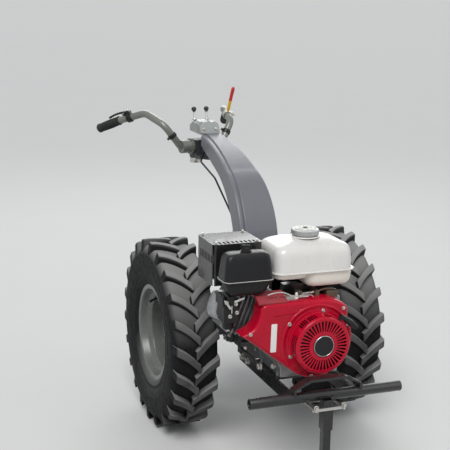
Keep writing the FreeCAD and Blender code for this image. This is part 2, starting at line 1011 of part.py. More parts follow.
def make_shroud():
    body = new_body("fan_shroud", 0, 0, S.crank_height)
    back = -S.engine_front_y
    duct = new_sketch(body, "DuctOutline", "XZ_Plane", back)
    draw_outline(duct, shroud_corners(as_size(0)))
    pad(body, duct, S.shroud_depth)
    ring = new_sketch(body, "FanRing", "XZ_Plane", back)
    draw_circle(ring, 0, 0, S.shroud_ring_radius)
    pad(body, ring, S.shroud_depth)
    hollow = new_sketch(body, "FanChamber", "XZ_Plane", back)
    draw_circle(hollow, 0, 0, S.shroud_ring_radius - S.shroud_wall)
    pocket(body, hollow, S.shroud_depth - S.shroud_wall, backwards=True)
    inside = new_sketch(body, "DuctHollow", "XZ_Plane", back)
    draw_outline(inside, shroud_corners(S.shroud_wall))
    pocket(body, inside, S.shroud_depth - S.shroud_wall, backwards=True)
    mouth = new_sketch(body, "StarterMouth", "XZ_Plane", back)
    draw_circle(mouth, 0, 0, S.starter_radius - S.starter_wall)
    pocket(body, mouth, S.shroud_depth, backwards=True)
    return keep(body, "fan_shroud")


def make_starter():
    """The recoil starter's pressed cup: an open ring of radial slots in its face."""
    body = new_body("recoil_starter", 0, S.engine_front_y - S.shroud_depth, S.crank_height)
    inner = S.starter_radius - S.starter_wall
    face = S.starter_depth
    section = new_sketch(body, "CupSection", "YZ_Plane")
    draw_outline(section, [
        (0, inner),
        (0, S.starter_flange_radius),
        (-S.starter_flange_metal, S.starter_flange_radius),
        (-S.starter_flange_metal, S.starter_radius),
        (-face, S.starter_radius),
        (-face, 0),
        (S.starter_wall - face, 0),
        (S.starter_wall - face, inner),
    ])
    spin(body, section)
    slot = new_sketch(body, "Slot", "XZ_Plane", face)
    half = S.slot_width / 2
    narrow = half * S.slot_inner_radius / S.slot_outer_radius
    draw_outline(slot, [
        (S.slot_inner_radius, -narrow),
        (S.slot_outer_radius, -half),
        (S.slot_outer_radius, half),
        (S.slot_inner_radius, narrow),
    ])
    cut = pocket(body, slot, S.starter_wall * 2)
    repeat_round(body, [cut], "Y_Axis", S.slot_count)
    first = -S.vent_pitch * 3 / 2 - S.vent_width / 2
    low = S.vent_setback - face
    for angle in (S.vent_first_angle, S.vent_second_angle, S.vent_third_angle):
        vents = new_sketch(body, "WallVents", "XY_Plane")
        vents.AttachmentOffset = FreeCAD.Placement(
            Vector(), FreeCAD.Rotation(Vector(0, 1, 0), -float(angle)))
        bind(vents, "AttachmentOffset.Rotation.Angle", angle)
        for step in range(4):
            left = first + S.vent_pitch * step
            draw_outline(vents, rectangle(left, left + S.vent_width, low, low + S.vent_length))
        pocket(body, vents, S.starter_radius * 2, backwards=True)
    return keep(body, "recoil_starter")


def make_starter_disc():
    face = S.engine_front_y - S.shroud_depth - S.starter_depth
    body = new_body("starter_disc", 0, face, S.crank_height)
    disc = new_sketch(body, "Disc", "XZ_Plane")
    draw_circle(disc, 0, 0, S.badge_radius)
    pad(body, disc, S.badge_metal)
    return keep(body, "starter_disc")


def make_pull_handle():
    """A moulded grip that hangs from its guide at the side of the starter's cup."""
    angle = math.radians(float(S.pull_angle))
    y = float(S.engine_front_y - S.shroud_depth - S.starter_depth + S.pull_setback)
    centre = Vector(0, y, float(S.crank_height))
    heading = Vector(math.cos(angle), 0, math.sin(angle))
    radius = float(S.pull_radius)
    cup = float(S.starter_radius)
    elbow = centre + heading * (cup + 2 * radius)
    neck = Part.makeCylinder(radius, 3 * radius, centre + heading * (cup - radius), heading)
    hang = Vector(float(S.pull_reach), 0, -float(S.pull_drop))
    belly = radius * float(S.pull_flare)
    grip = pointing(flat_turned([
        (-radius, 0),
        (-radius, radius),
        (hang.Length * float(S.pull_belly), belly),
        (hang.Length, radius),
        (hang.Length, 0),
    ], S.pull_sides), elbow, hang)
    shape = neck.fuse(grip)
    drum = Part.makeCylinder(cup, float(S.starter_depth),
                             centre - Vector(0, float(S.pull_setback), 0), Vector(0, 1, 0))
    return shape_piece("starter_handle", shape.cut(drum).removeSplitter())


# Fuel tank

def make_tank():
    """Two pressed halves meet at a lip. The upper one is domed across the machine."""
    body = new_body("fuel_tank", S.tank_left_x + S.tank_width / 2,
                    S.tank_front_y + S.tank_length / 2, S.tank_bottom + S.tank_seam)
    across = S.tank_width / 2 - S.seam_lip
    along = S.tank_length / 2 - S.seam_lip
    draft = S.tank_draft
    shoulder = S.tank_shoulder
    crown = S.tank_shoulder + S.tank_top
    corner = S.tank_round * (1 - cosine(as_size(45)))
    flat = S.tank_crown_half_width
    upper = new_sketch(body, "TankUpper", "XZ_Plane", -along)
    draw_outline(upper, [
        (-across, 0),
        (across, 0),
        (across - draft, shoulder - S.tank_round, across - draft - corner, shoulder - corner),
        (across - draft - S.tank_round, shoulder),
        (flat, crown),
        (-flat, crown),
        (draft + S.tank_round - across, shoulder, draft + corner - across, shoulder - corner),
        (draft - across, shoulder - S.tank_round),
    ])
    pad(body, upper, 2 * along)
    bevel_edges(body, S.tank_round / 2, lambda middle, direction: middle.z > 1
                and not is_along(direction, Vector(0, 1, 0)))
    lower = new_sketch(body, "TankLower", "XY_Plane")
    draw_outline(lower, rectangle(-across, across, -along, along))
    pad(body, lower, S.tank_seam, backwards=True)
    bevel_edges(body, S.tank_round / 2, lambda middle, direction: middle.z < -10)
    lip = new_sketch(body, "SeamLip", "XY_Plane", -S.seam_metal / 2)
    draw_outline(lip, rectangle(-across - S.seam_lip, across + S.seam_lip,
                                -along - S.seam_lip, along + S.seam_lip))
    pad(body, lip, S.seam_metal)
    return keep(body, "fuel_tank")


def make_tank_bracket():
    body = new_body("tank_bracket", S.tank_left_x + S.tank_width / 2,
                    S.engine_front_y, S.engine_top)
    half = S.tank_width / 2 - S.bracket_inset - S.bracket_inset
    for start in (S.bracket_inset, S.engine_back_y - S.engine_front_y - S.bracket_inset * 2):
        foot = new_sketch(body, "BracketFoot", "XY_Plane")
        draw_outline(foot, rectangle(-half, half, start, start + S.bracket_width))
        pad(body, foot, S.tank_bottom - S.engine_top)
    web = new_sketch(body, "BracketWeb", "XY_Plane")
    draw_outline(web, rectangle(-S.bracket_width, S.bracket_width, S.bracket_inset,
                                S.engine_back_y - S.engine_front_y - S.bracket_inset))
    pad(body, web, (S.tank_bottom - S.engine_top) / 2)
    return keep(body, "tank_bracket")


def make_cap():
    body = new_body("fuel_cap", S.cap_x, S.cap_y,
                    S.tank_bottom + S.tank_seam + S.tank_shoulder + S.tank_top)
    neck = new_sketch(body, "CapNeck", "XY_Plane")
    draw_circle(neck, 0, 0, S.cap_neck_radius)
    pad(body, neck, S.cap_neck_height)
    top = new_sketch(body, "CapTop", "XY_Plane", S.cap_neck_height)
    draw_circle(top, 0, 0, S.cap_radius)
    pad(body, top, S.cap_height - S.cap_neck_height)
    return keep(body, "fuel_cap")


# Air cleaner and carburettor

def cleaner_body(name, z):
    return new_body(name, S.cleaner_left_x + S.cleaner_width / 2,
                    S.cleaner_front_y + S.cleaner_depth / 2, z)


def make_cleaner_cover():
    body = cleaner_body("air_cleaner_cover", S.cleaner_seam)
    across = S.cleaner_width / 2
    along = S.cleaner_depth / 2
    height = S.cleaner_top - S.cleaner_seam
    shell = new_sketch(body, "CoverOutline", "YZ_Plane", -across)
    round_off = S.cleaner_round
    bulge = round_off * (1 - cosine(as_size(45)))
    draw_outline(shell, [
        (-along, 0),
        (along, 0),
        (along, height - round_off, along - bulge, height - bulge),
        (along - round_off, height),
        (round_off - along, height, bulge - along, height - bulge),
        (-along, height - round_off),
    ])
    pad(body, shell, S.cleaner_width)
    bevel_edges(body, S.cleaner_round / 2, lambda middle, along_edge:
                abs(middle.x) > float(across) - 1 and middle.z > 1)
    return keep(body, "air_cleaner_cover")


def make_cleaner_base():
    body = cleaner_body("air_cleaner_base", S.cleaner_bottom)
    across = S.cleaner_width / 2 - S.cleaner_inset
    along = S.cleaner_depth / 2 - S.cleaner_inset
    tray = new_sketch(body, "TrayOutline", "XY_Plane")
    draw_outline(tray, rectangle(-across, across, -along, along))
    pad(body, tray, S.cleaner_seam - S.cleaner_bottom)
    bevel_edges(body, S.cleaner_round / 2,
                lambda middle, along: middle.z < float(S.cleaner_seam - S.cleaner_bottom) - 1)
    return keep(body, "air_cleaner_base")


def make_cleaner_knob():
    body = cleaner_body("air_cleaner_knob", S.cleaner_top)
    stem = new_sketch(body, "KnobStem", "XY_Plane")
    draw_circle(stem, 0, 0, S.knob_radius)
    pad(body, stem, S.knob_height)
    half = S.knob_wing_length / 2
    wing = new_sketch(body, "KnobWing", "XY_Plane", S.knob_height / 2)
    thin = S.knob_wing_metal / 2
    draw_outline(wing, rectangle(-half, half, -thin, thin))
    pad(body, wing, S.knob_wing_height)
    return keep(body, "air_cleaner_knob")


def make_carburettor():
    fins_front = S.cylinder_y - S.fin_size / 2
    left = S.carburettor_left_x
    right = left + S.carburettor_width
    front = fins_front - S.carburettor_depth
    body = new_body("carburettor")
    block = new_sketch(body, "CarburettorBlock", "XY_Plane", S.carburettor_bottom)
    draw_outline(block, rectangle(left, right, front, front + S.insulator_size))
    pad(body, block, S.cleaner_bottom - S.carburettor_bottom)
    neck = new_sketch(body, "Insulator", "XZ_Plane", S.valve_cover_depth / 2 - S.cylinder_y)
    inset = S.insulator_inset
    low = S.carburettor_bottom + inset
    draw_outline(neck, rectangle(left + inset, left + inset + S.insulator_size,
                                 low, low + S.insulator_size))
    pad(body, neck, fins_front - front - S.insulator_size + S.fin_size / 2 - S.valve_cover_depth / 2)
    bowl = new_sketch(body, "FloatBowl", "XY_Plane", S.carburettor_bottom - S.bowl_height)
    draw_circle(bowl, (left + right) / 2, front + S.insulator_size / 2, S.bowl_radius)
    pad(body, bowl, S.bowl_height)
    return keep(body, "carburettor")


def make_linkage():
    body = new_body("control_linkage", 0, S.engine_front_y, S.crank_height + S.shroud_top_z)
    plate = new_sketch(body, "LinkagePlate", "XY_Plane")
    start = S.shroud_shoulder_x + S.bracket_inset
    draw_outline(plate, rectangle(start, start + S.linkage_plate_width,
                                  -S.linkage_plate_length, 0))
    pad(body, plate, S.linkage_plate_metal)
    for step in (1, 2, 3):
        rod = new_sketch(body, "LinkageRod", "YZ_Plane", start)
        draw_circle(rod, -S.linkage_plate_length * step / 4,
                    S.linkage_plate_metal + S.linkage_rod_radius / 2, S.linkage_rod_radius)
        pad(body, rod, S.linkage_plate_width + S.linkage_plate_length)
    return keep(body, "control_linkage")


def make_muffler():
    body = new_body("muffler", S.muffler_left_x, S.muffler_front_y, S.muffler_bottom)
    box = new_sketch(body, "MufflerBox", "XY_Plane")
    draw_outline(box, rectangle(0, S.muffler_width, 0, S.muffler_length))
    pad(body, box, S.muffler_top - S.muffler_bottom)
    round_edges(body, S.muffler_round, lambda middle, along: is_along(along, Vector(0, 1, 0)))
    posts = new_sketch(body, "GuardPosts", "XY_Plane", S.muffler_top - S.muffler_bottom)
    for place in (S.muffler_length / 4, S.muffler_length * 3 / 4):
        draw_circle(posts, S.muffler_width / 2, place, S.guard_post_radius)
    pad(body, posts, S.guard_top - S.guard_metal - S.muffler_top)
    return keep(body, "muffler")


def make_exhaust():
    """A short pipe from the cylinder's upper fins to the muffler."""
    tilt = S.cylinder_tilt
    x = S.fin_size / 2 * sine(tilt) - S.exhaust_reach * cosine(tilt)
    z = S.crank_height + S.exhaust_reach * sine(tilt) + S.fin_size / 2 * cosine(tilt)
    body = new_body("exhaust", x, S.cylinder_y + S.fin_pitch, z)
    turn(body, Vector(0, 1, 0), tilt)
    pipe = new_sketch(body, "PipeSection", "XY_Plane")
    draw_circle(pipe, 0, 0, S.exhaust_radius)
    pad(body, pipe, S.muffler_bottom - z + S.exhaust_radius)
    box = new_body("exhaust_trim", 0, 0, S.muffler_bottom)
    room = new_sketch(box, "MufflerRoom", "XY_Plane")
    draw_outline(room, rectangle(S.muffler_left_x, S.tank_left_x, S.muffler_front_y,
                                 S.muffler_front_y + S.muffler_length))
    pad(box, room, S.muffler_top - S.muffler_bottom)
    cut = DOC.addObject("Part::Cut", "exhaust_pipe")
    cut.Base = body
    cut.Tool = box
    return keep(cut, "exhaust_pipe")


def make_guard():
    gap = S.guard_gap
    metal = S.guard_metal
    width = S.muffler_width + 2 * gap
    length = S.muffler_length + 2 * gap
    height = S.guard_top - S.guard_bottom
    body = new_body("muffler_guard", S.muffler_left_x - gap, S.muffler_front_y - gap,
                    S.guard_bottom)
    outside = new_sketch(body, "GuardOutside", "XY_Plane")
    draw_outline(outside, rectangle(0, width, 0, length))
    pad(body, outside, height)
    round_edges(body, gap * 2, lambda middle, along:
                is_along(along, Vector(0, 0, 1)))
    inside = new_sketch(body, "GuardInside", "XY_Plane")
    draw_outline(inside, rectangle(metal, width - metal, metal, length - metal))
    pocket(body, inside, height - metal, backwards=True)
    first = S.guard_slot_pitch - S.guard_slot_width / 2
    slot = new_sketch(body, "TopSlot", "XY_Plane", height)
    draw_outline(slot, rectangle(first, first + S.guard_slot_width, gap, gap + S.guard_slot_length))
    cut = pocket(body, slot, metal * 2)
    repeat_along(body, [cut], "X_Axis", S.guard_slot_pitch * (S.guard_slot_count - 1),
                 S.guard_slot_count)
    side = new_sketch(body, "SideSlot", "YZ_Plane")
    draw_outline(side, rectangle(first, first + S.guard_slot_width, S.guard_side_rise,
                                 S.guard_side_rise + S.guard_slot_length))
    cut = pocket(body, side, metal * 2, backwards=True)
    repeat_along(body, [cut], "Y_Axis", S.guard_slot_pitch * (S.guard_side_count - 1),
                 S.guard_side_count)
    return keep(body, "muffler_guard")


# Engine frame, bumper and stand leg

def make_engine_frame():
    body = new_body("engine_frame")
    top = S.engine_base - S.frame_plate_metal
    low = top - S.rail_height
    back = S.gearbox_front_y
    for side in (-1, 1):
        edge = side * S.rail_x - S.rail_metal / 2
        rail = new_sketch(body, "Rail", "YZ_Plane", edge)
        end = S.bar_y + S.bar_radius / 2
        draw_outline(rail, [
            (back, low),
            (back, top),
            (end, top),
            (end, S.bar_height - S.bar_radius / 2),
            (S.bar_y + S.rail_height, low),
        ])
        pad(body, rail, S.rail_metal)
    plate = new_sketch(body, "EnginePlate", "XY_Plane", top)
    wide = S.frame_plate_half_width
    draw_outline(plate, rectangle(-wide, wide, S.engine_front_y, S.engine_back_y))
    pad(body, plate, S.frame_plate_metal)
    rear = new_sketch(body, "RearPlate", "XZ_Plane", -S.gearbox_front_y)
    width = S.rail_x + S.rail_metal / 2
    high = S.crank_height - S.clutch_engine_radius - S.frame_plate_metal
    draw_outline(rear, rectangle(-width, width, low, high))
    pad(body, rear, S.frame_back_metal)
    bore = new_sketch(body, "BarHole", "YZ_Plane", -width)
    draw_circle(bore, S.bar_y, S.bar_height, S.bar_radius)
    pocket(body, bore, 2 * width, backwards=True)
    return keep(body, "engine_frame")


def make_bar():
    body = new_body("bumper_bar", 0, S.bar_y, S.bar_height)
    section = new_sketch(body, "BarSection", "YZ_Plane", -S.bar_half_length)
    draw_circle(section, 0, 0, S.bar_radius)
    draw_circle(section, 0, 0, S.bar_radius - S.bar_wall)
    pad(body, section, 2 * S.bar_half_length)
    return keep(body, "bumper_bar")


def make_hoop():
    """A bent flat strip whose legs sit on the bar like saddles."""
    body = new_body("bumper_hoop", 0, S.bar_y, S.bar_height)
    metal = S.hoop_metal
    arch = new_sketch(body, "Arch", "XZ_Plane", -S.hoop_depth / 2)
    foot = S.hoop_half_width
    crest = S.hoop_half_top
    rise = S.hoop_rise
    draw_outline(arch, [
        (-foot, S.hoop_seat),
        (metal - foot, S.hoop_seat),
        (metal - foot, S.hoop_leg),
        (metal / 2 - crest, rise - metal),
        (crest - metal / 2, rise - metal),
        (foot - metal, S.hoop_leg),
        (foot - metal, S.hoop_seat),
        (foot, S.hoop_seat),
        (foot, S.hoop_leg),
        (crest, rise),
        (-crest, rise),
        (-foot, S.hoop_leg),
    ])
    pad(body, arch, S.hoop_depth)
    round_edges(body, S.hoop_metal * 1.5, lambda middle, along:
                is_along(along, Vector(0, 1, 0)) and middle.z > float(S.hoop_leg) + 1)
    saddle = new_sketch(body, "Saddle", "YZ_Plane", -foot)
    draw_circle(saddle, 0, 0, S.bar_radius)
    pocket(body, saddle, 2 * foot, backwards=True)
    return keep(body, "bumper_hoop")


def post_body(name):
    return new_body(name, S.post_x, S.bar_y - S.bar_radius - S.post_size / 2, 0)


def draw_square(sketch, size):
    half = size / 2
    draw_outline(sketch, rectangle(-half, half, -half, half))


def make_post():
    body = post_body("front_post")
    tube = new_sketch(body, "PostSection", "XY_Plane", S.post_bottom)
    draw_square(tube, S.post_size)
    draw_square(tube, S.post_size - 2 * S.post_wall)
    pad(body, tube, S.post_top - S.post_bottom)
    return keep(body, "front_post")


def make_clamp():
    """Two long bolts pull a front plate and a back plate together round bar and post."""
    front = S.bar_y - S.bar_radius - S.post_size
    back = S.bar_y + S.bar_radius
    height = S.bar_height - S.clamp_bolt_drop
    body = new_body("post_clamp", S.post_x, 0, height)
    wide = S.clamp_half_width
    half = S.clamp_height / 2
    face = new_sketch(body, "FrontPlate", "XZ_Plane", -front)
    draw_outline(face, rectangle(-wide, wide, -half, half))
    pad(body, face, S.clamp_metal)
    rear = new_sketch(body, "BackPlate", "XZ_Plane", -back - S.clamp_metal)
    draw_outline(rear, rectangle(-wide, wide, -half, S.clamp_bolt_drop))
    pad(body, rear, S.clamp_metal)
    bolts = new_sketch(body, "Bolts", "XZ_Plane", -back - S.clamp_metal - S.clamp_bolt_end)
    for side in (-1, 1):
        draw_circle(bolts, side * S.clamp_bolt_x, 0, S.clamp_bolt_radius)
    pad(body, bolts, back - front + 2 * (S.clamp_metal + S.clamp_bolt_end))
    return keep(body, "post_clamp")


def make_leg():
    body = post_body("stand_leg")
    outer = S.post_size - 2 * S.post_wall - 2 * S.leg_clearance
    foot = new_sketch(body, "Foot", "XY_Plane")
    across = S.foot_width / 2
    along = S.foot_length / 2
    draw_outline(foot, rectangle(-across, across, -along, along))
    pad(body, foot, S.foot_metal)
    tube = new_sketch(body, "LegSection", "XY_Plane", S.foot_metal)
    draw_square(tube, outer)
    draw_square(tube, outer - 2 * S.leg_wall)
    pad(body, tube, S.leg_top - S.foot_metal)
    return keep(body, "stand_leg")


# Column

def column_profile(wall):
    """Side outline of the arched cover: up its front, over the top and back underneath.
    The hollow is the same outline drawn in by the wall and left open underneath."""
    base = S.gearbox_top
    mid_y = (S.column_knee_y + S.column_bend_y) / 2 - S.column_low_sag
    mid_z = (S.column_knee_z + S.column_bend_z) / 2 + S.column_low_sag
    top_y = (S.column_bend_y + S.column_end_y) / 2 - S.column_high_sag / 2
    top_z = (S.column_bend_z + S.column_end_z) / 2 + S.column_high_sag
    inner_y = S.column_base_y + S.column_base_depth
    inner_mid_y = (inner_y + S.column_inner_bend_y) / 2 - S.column_inner_sag
    inner_mid_z = (S.column_inner_z + S.column_inner_bend_z) / 2 + S.column_inner_sag
    return [
        (S.column_base_y + wall, base),
        (S.column_knee_y + wall, S.column_knee_z, mid_y + wall, mid_z - wall),
        (S.column_bend_y + wall, S.column_bend_z - wall, top_y, top_z - wall),
        (S.column_end_y, S.column_end_z - wall),
        (S.column_end_y, S.column_end_z - S.column_end_depth),
        (S.column_inner_bend_y, S.column_inner_bend_z, inner_mid_y, inner_mid_z),
        (inner_y, S.column_inner_z),
        (inner_y, base),
    ]


def cut_flanks(body, base_width, end_width):
    """Narrows the cover evenly from its base to its end."""
    start = S.column_base_y - S.column_base_depth
    finish = S.column_end_y + S.column_end_depth
    spread = (base_width - end_width) / 2 / (S.column_end_y - S.column_base_y)
    near = base_width / 2 + spread * S.column_base_depth
    far = end_width / 2 - spread * S.column_end_depth
    for side in (-1, 1):
        flank = new_sketch(body, "Flank", "XY_Plane", S.gearbox_bottom)
        draw_outline(flank, [
            (side * near, start),
            (side * S.column_base_width, start),
            (side * S.column_base_width, finish),
            (side * far, finish),
        ])
        pocket(body, flank, S.column_end_z, backwards=True)


def make_column():
    outer = new_body("column_outer")
    profile = new_sketch(outer, "ColumnProfile", "YZ_Plane", -S.column_base_width)
    draw_outline(profile, column_profile(as_size(0)))
    pad(outer, profile, 2 * S.column_base_width)
    cut_flanks(outer, S.column_base_width, S.column_end_width)
    hollow = new_body("column_hollow")
    core = new_sketch(hollow, "HollowProfile", "YZ_Plane", -S.column_base_width)
    draw_outline(core, hollow_profile())
    pad(hollow, core, 2 * S.column_base_width)
    cut_flanks(hollow, S.column_base_width - 2 * S.column_wall,
               S.column_end_width - 2 * S.column_wall)
    shell = DOC.addObject("Part::Cut", "ColumnShell")
    shell.Base = outer
    shell.Tool = hollow
    banded = DOC.addObject("Part::Fuse", "BandedShell")
    banded.Base = shell
    banded.Tool = make_band()
    tube = DOC.addObject("Part::Feature", "SpineHole")
    tube.Shape = spine_rod()
    cover = DOC.addObject("Part::Cut", "column_cover")
    cover.Base = banded
    cover.Tool = tube
    return keep(cover, "column_cover")


def make_band():
    """The raised strip down the cover's front. It leaves a bead of the cover beside it."""
    band = new_body("column_band", S.band_shift)
    over = column_profile(-S.band_metal)[:4]
    under = column_profile(S.column_wall / 2)[:4]
    strip = new_sketch(band, "BandProfile", "YZ_Plane", -S.column_base_width)
    draw_outline(strip, over[:3] + [
        over[3][:2],
        under[3][:2] + under[2][2:],
        under[2][:2] + under[1][2:],
        under[1][:2],
        under[0],
    ])
    pad(band, strip, 2 * S.column_base_width)
    inset = 2 * S.band_inset
    cut_flanks(band, S.column_base_width - inset, S.column_end_width - inset)
    return band


def hollow_profile():
    """The cover's inside: its front line drawn in by the wall, and open underneath."""
    corners = column_profile(S.column_wall)
    reach = S.column_base_depth
    front = corners[:3]
    end = (S.column_end_y - S.column_wall, S.column_end_z - S.column_wall)
    return [(corners[0][0], S.gearbox_top - reach)] + front + [
        end,
        (end[0], S.column_end_z - S.column_end_depth - reach),
        (S.column_inner_bend_y + reach, S.column_inner_bend_z - reach),
        (S.column_base_y + 2 * reach, S.gearbox_top - reach),
    ]


def spine_rod():
    points = [
        (0, S.spine_base_y, S.gearbox_top - S.spine_radius),
        (0, S.spine_knee_y, S.spine_knee_z),
        (0, S.spine_bend_y, S.spine_bend_z),
        (0, S.head_y, S.spine_end_z),
    ]
    return bent_rod(points, S.spine_radius, S.spine_bend_radius)


def make_spine():
    """The steel tube inside the cover: flat on the gearbox, coped to the steering head."""
    head = Part.makeCylinder(float(S.head_radius), float(S.head_top),
                             Vector(0, float(S.head_y), 0))
    return shape_piece("column_spine", cut_level(spine_rod(), S.gearbox_top).cut(head))


def make_head():
    body = new_body("steering_head", 0, S.head_y, 0)
    barrel = new_sketch(body, "HeadSection", "XY_Plane", S.head_bottom)
    draw_circle(barrel, 0, 0, S.head_radius)
    draw_circle(barrel, 0, 0, S.swivel_radius + S.swivel_clearance)
    pad(body, barrel, S.head_top - S.head_bottom)
    return keep(body, "steering_head")


def make_console():
    body = new_body("console", 0, S.console_front_y, S.head_top)
    length = S.console_length
    height = S.console_height
    half = S.console_width / 2
    profile = new_sketch(body, "ConsoleProfile", "YZ_Plane", -half)
    draw_outline(profile, [
        (0, 0),
        (length, 0),
        (length, S.console_back_height),
        (length - S.console_top_setback, height),
        (S.console_top_setback, height),
        (0, S.console_front_height),
    ])
    pad(body, profile, S.console_width)
    bevel_edges(body, S.console_bevel, lambda middle, along:
                abs(middle.x) > float(half) - 1 and middle.z > float(S.console_back_height))
    for x in (S.gear_lever_x, S.speed_lever_x):
        slot = new_sketch(body, "LeverSlot", "XY_Plane", height)
        middle = S.lever_y - S.console_front_y
        draw_outline(slot, rectangle(x - S.console_slot_width, x + S.console_slot_width,
                                     middle - S.console_slot_length / 2,
                                     middle + S.console_slot_length / 2))
        pocket(body, slot, height / 2)
    return keep(body, "console")


def make_lever(name, x):
    root_z = float(S.head_top + S.console_height / 2)
    tip_z = float(S.head_top + S.console_height + S.lever_rise)
    root = Vector(float(x), float(S.lever_y), root_z)
    tip = Vector(float(x), float(S.lever_y + S.lever_lean), tip_z)
    along = (tip - root).normalize()
    start = root - along * float(S.lever_radius)
    radius = float(S.lever_ball_radius)
    rod = Part.makeCylinder(float(S.lever_radius), (tip - start).Length, start, along)
    arc = [math.radians(angle) for angle in range(0, 181, 30)]
    ball = [(-radius * math.cos(angle), radius * math.sin(angle)) for angle in arc]
    ball[0] = (-radius, 0)
    ball[-1] = (radius, 0)
    knob = pointing(flat_turned(ball, S.lever_ball_sides), tip, along)
    return shape_piece(name, cut_level(rod, root_z).fuse(knob).removeSplitter())


def make_cable():
    """The throttle's sheathed cable, from the steering head down behind the cover."""
    route = [
        (-19, 452, 868),
        (-60, 372, 846),
        (-60, 214, 812),
        (-46, 62, 700),
        (-40, 34, 560),
        (-40, 34, 466),
    ]
    head = Part.makeCylinder(float(S.head_radius), float(S.head_top),
                             Vector(0, float(S.head_y), 0))
    rod = bent_rod(route, S.cable_radius, S.cable_bend_radius)
    return shape_piece("throttle_cable", cut_level(rod, S.gearbox_top).cut(head))


# Handlebars, drawn about the steering head's axis and turned by the parked swing

def swing_placement():
    return FreeCAD.Placement(Vector(0, float(S.head_y), 0),
                             FreeCAD.Rotation(Vector(0, 0, 1), float(S.parked_swing)))


def swing_body(name):
    body = new_body(name, 0, S.head_y, 0)
    turn(body, Vector(0, 0, 1), S.parked_swing)
    return body


def make_yoke():
    body = swing_body("yoke")
    floor = S.head_bottom - S.yoke_gap - S.yoke_metal
    base = new_sketch(body, "YokePlate", "XY_Plane", floor)
    half = S.yoke_half_width
    draw_outline(base, rectangle(-half, half, 0, S.yoke_block_back))
    pad(body, base, S.yoke_metal)
    nose = new_sketch(body, "YokeNose", "XY_Plane", floor)
    draw_circle(nose, 0, 0, S.head_radius)
    pad(body, nose, S.yoke_metal)
    block = new_sketch(body, "YokeBlock", "XY_Plane", floor)
    draw_outline(block, rectangle(-half, half, S.yoke_block_front, S.yoke_block_back))
    pad(body, block, S.crosspiece_height + S.yoke_block_height - floor)
    pin = new_sketch(body, "SwivelPin", "XY_Plane", floor)
    draw_circle(pin, 0, 0, S.swivel_radius)
    pad(body, pin, S.head_top - floor - S.yoke_gap)
    bore = new_sketch(body, "CrosspieceBore", "YZ_Plane", -half)
    draw_circle(bore, S.crosspiece_back, S.crosspiece_height,
                S.crosspiece_radius + S.crosspiece_clearance)
    pocket(body, bore, 2 * half, backwards=True)
    return keep(body, "handlebar_yoke")


def make_lock_knob():
    body = swing_body("lock_knob")
    floor = S.head_bottom - S.yoke_gap - S.yoke_metal
    knob = new_sketch(body, "Knob", "XY_Plane", floor)
    draw_circle(knob, -S.yoke_half_width + S.lock_knob_radius / 2, S.crosspiece_back,
                S.lock_knob_radius)
    pad(body, knob, S.lock_knob_height, backwards=True)
    return keep(body, "lock_knob")


def make_crosspiece():
    body = swing_body("crosspiece")
    section = new_sketch(body, "CrosspieceTube", "YZ_Plane", -S.boss_outer_x)
    draw_circle(section, S.crosspiece_back, S.crosspiece_height, S.crosspiece_radius)
    pad(body, section, 2 * S.boss_outer_x)
    for start, finish, radius in (
            (-S.boss_outer_x, -S.boss_inner_x, S.boss_radius),
            (S.boss_inner_x, S.boss_outer_x, S.boss_radius),
            (-S.boss_inner_x - S.collar_length, -S.boss_inner_x, S.collar_radius),
            (S.boss_inner_x, S.boss_inner_x + S.collar_length, S.collar_radius)):
        ring = new_sketch(body, "Boss", "YZ_Plane", start)
        draw_circle(ring, S.crosspiece_back, S.crosspiece_height, radius)
        pad(body, ring, finish - start)
    return keep(body, "handlebar_crosspiece")


def tube_points(side):
    return mirrored([
        (float(S.boss_outer_x), float(S.crosspiece_back), float(S.crosspiece_height)),
        (float(S.tube_rise_x), float(S.tube_rise_y), float(S.tube_rise_z)),
        (float(S.tube_crest_x), float(S.tube_crest_y), float(S.tube_crest_z)),
        (float(S.tube_fall_x), float(S.tube_fall_y), float(S.tube_fall_z)),
        (float(S.tube_end_x), float(S.tube_end_y), float(S.tube_end_z)),
    ], side)


def make_handle_tube(name, side):
    shape = bent_rod(tube_points(side), S.tube_radius, S.tube_bend_radius)
    half = float(S.boss_outer_x)
    boss = Part.makeCylinder(float(S.collar_radius), 2 * half,
                             Vector(-half, float(S.crosspiece_back), float(S.crosspiece_height)),
                             Vector(1, 0, 0))
    return shape_piece(name, shape.cut(boss), swing_placement())


def make_grip(name, side):
    fall, end = [Vector(*point) for point in tube_points(side)[-2:]]
    along = (end - fall).normalize()
    start = end + along * float(S.grip_cap) - along * float(S.grip_length)
    sleeve = Part.makeCylinder(float(S.grip_radius), float(S.grip_length), start, along)
    bore = Part.makeCylinder(float(S.tube_radius), float(S.grip_length - S.grip_cap), start, along)
    return shape_piece(name, sleeve.cut(bore), swing_placement())


def make_clutch_lever():
    """A rod on a ring that is clamped round the right handle tube's rising run."""
    rise, crest = [Vector(*point) for point in tube_points(1)[1:3]]
    run = (crest - rise).normalize()
    middle = rise + (crest - rise) * float(S.lever_ring_share)
    ring_length = float(S.lever_ring_length)
    start = middle - run * (ring_length / 2)
    inner = float(S.tube_radius)
    outer = inner + float(S.lever_ring_metal)
    ring = Part.makeCylinder(outer, ring_length, start, run)
    bore = Part.makeCylinder(inner, ring_length, start, run)
    tip = middle + Vector(0, -float(S.clutch_lever_lean), float(S.clutch_lever_rise))
    along = (tip - middle).normalize()
    rod = Part.makeCylinder(float(S.clutch_lever_radius), (tip - middle).Length, middle, along)
    shape = ring.fuse(rod).cut(bore).removeSplitter()
    return shape_piece("clutch_lever", shape, swing_placement())


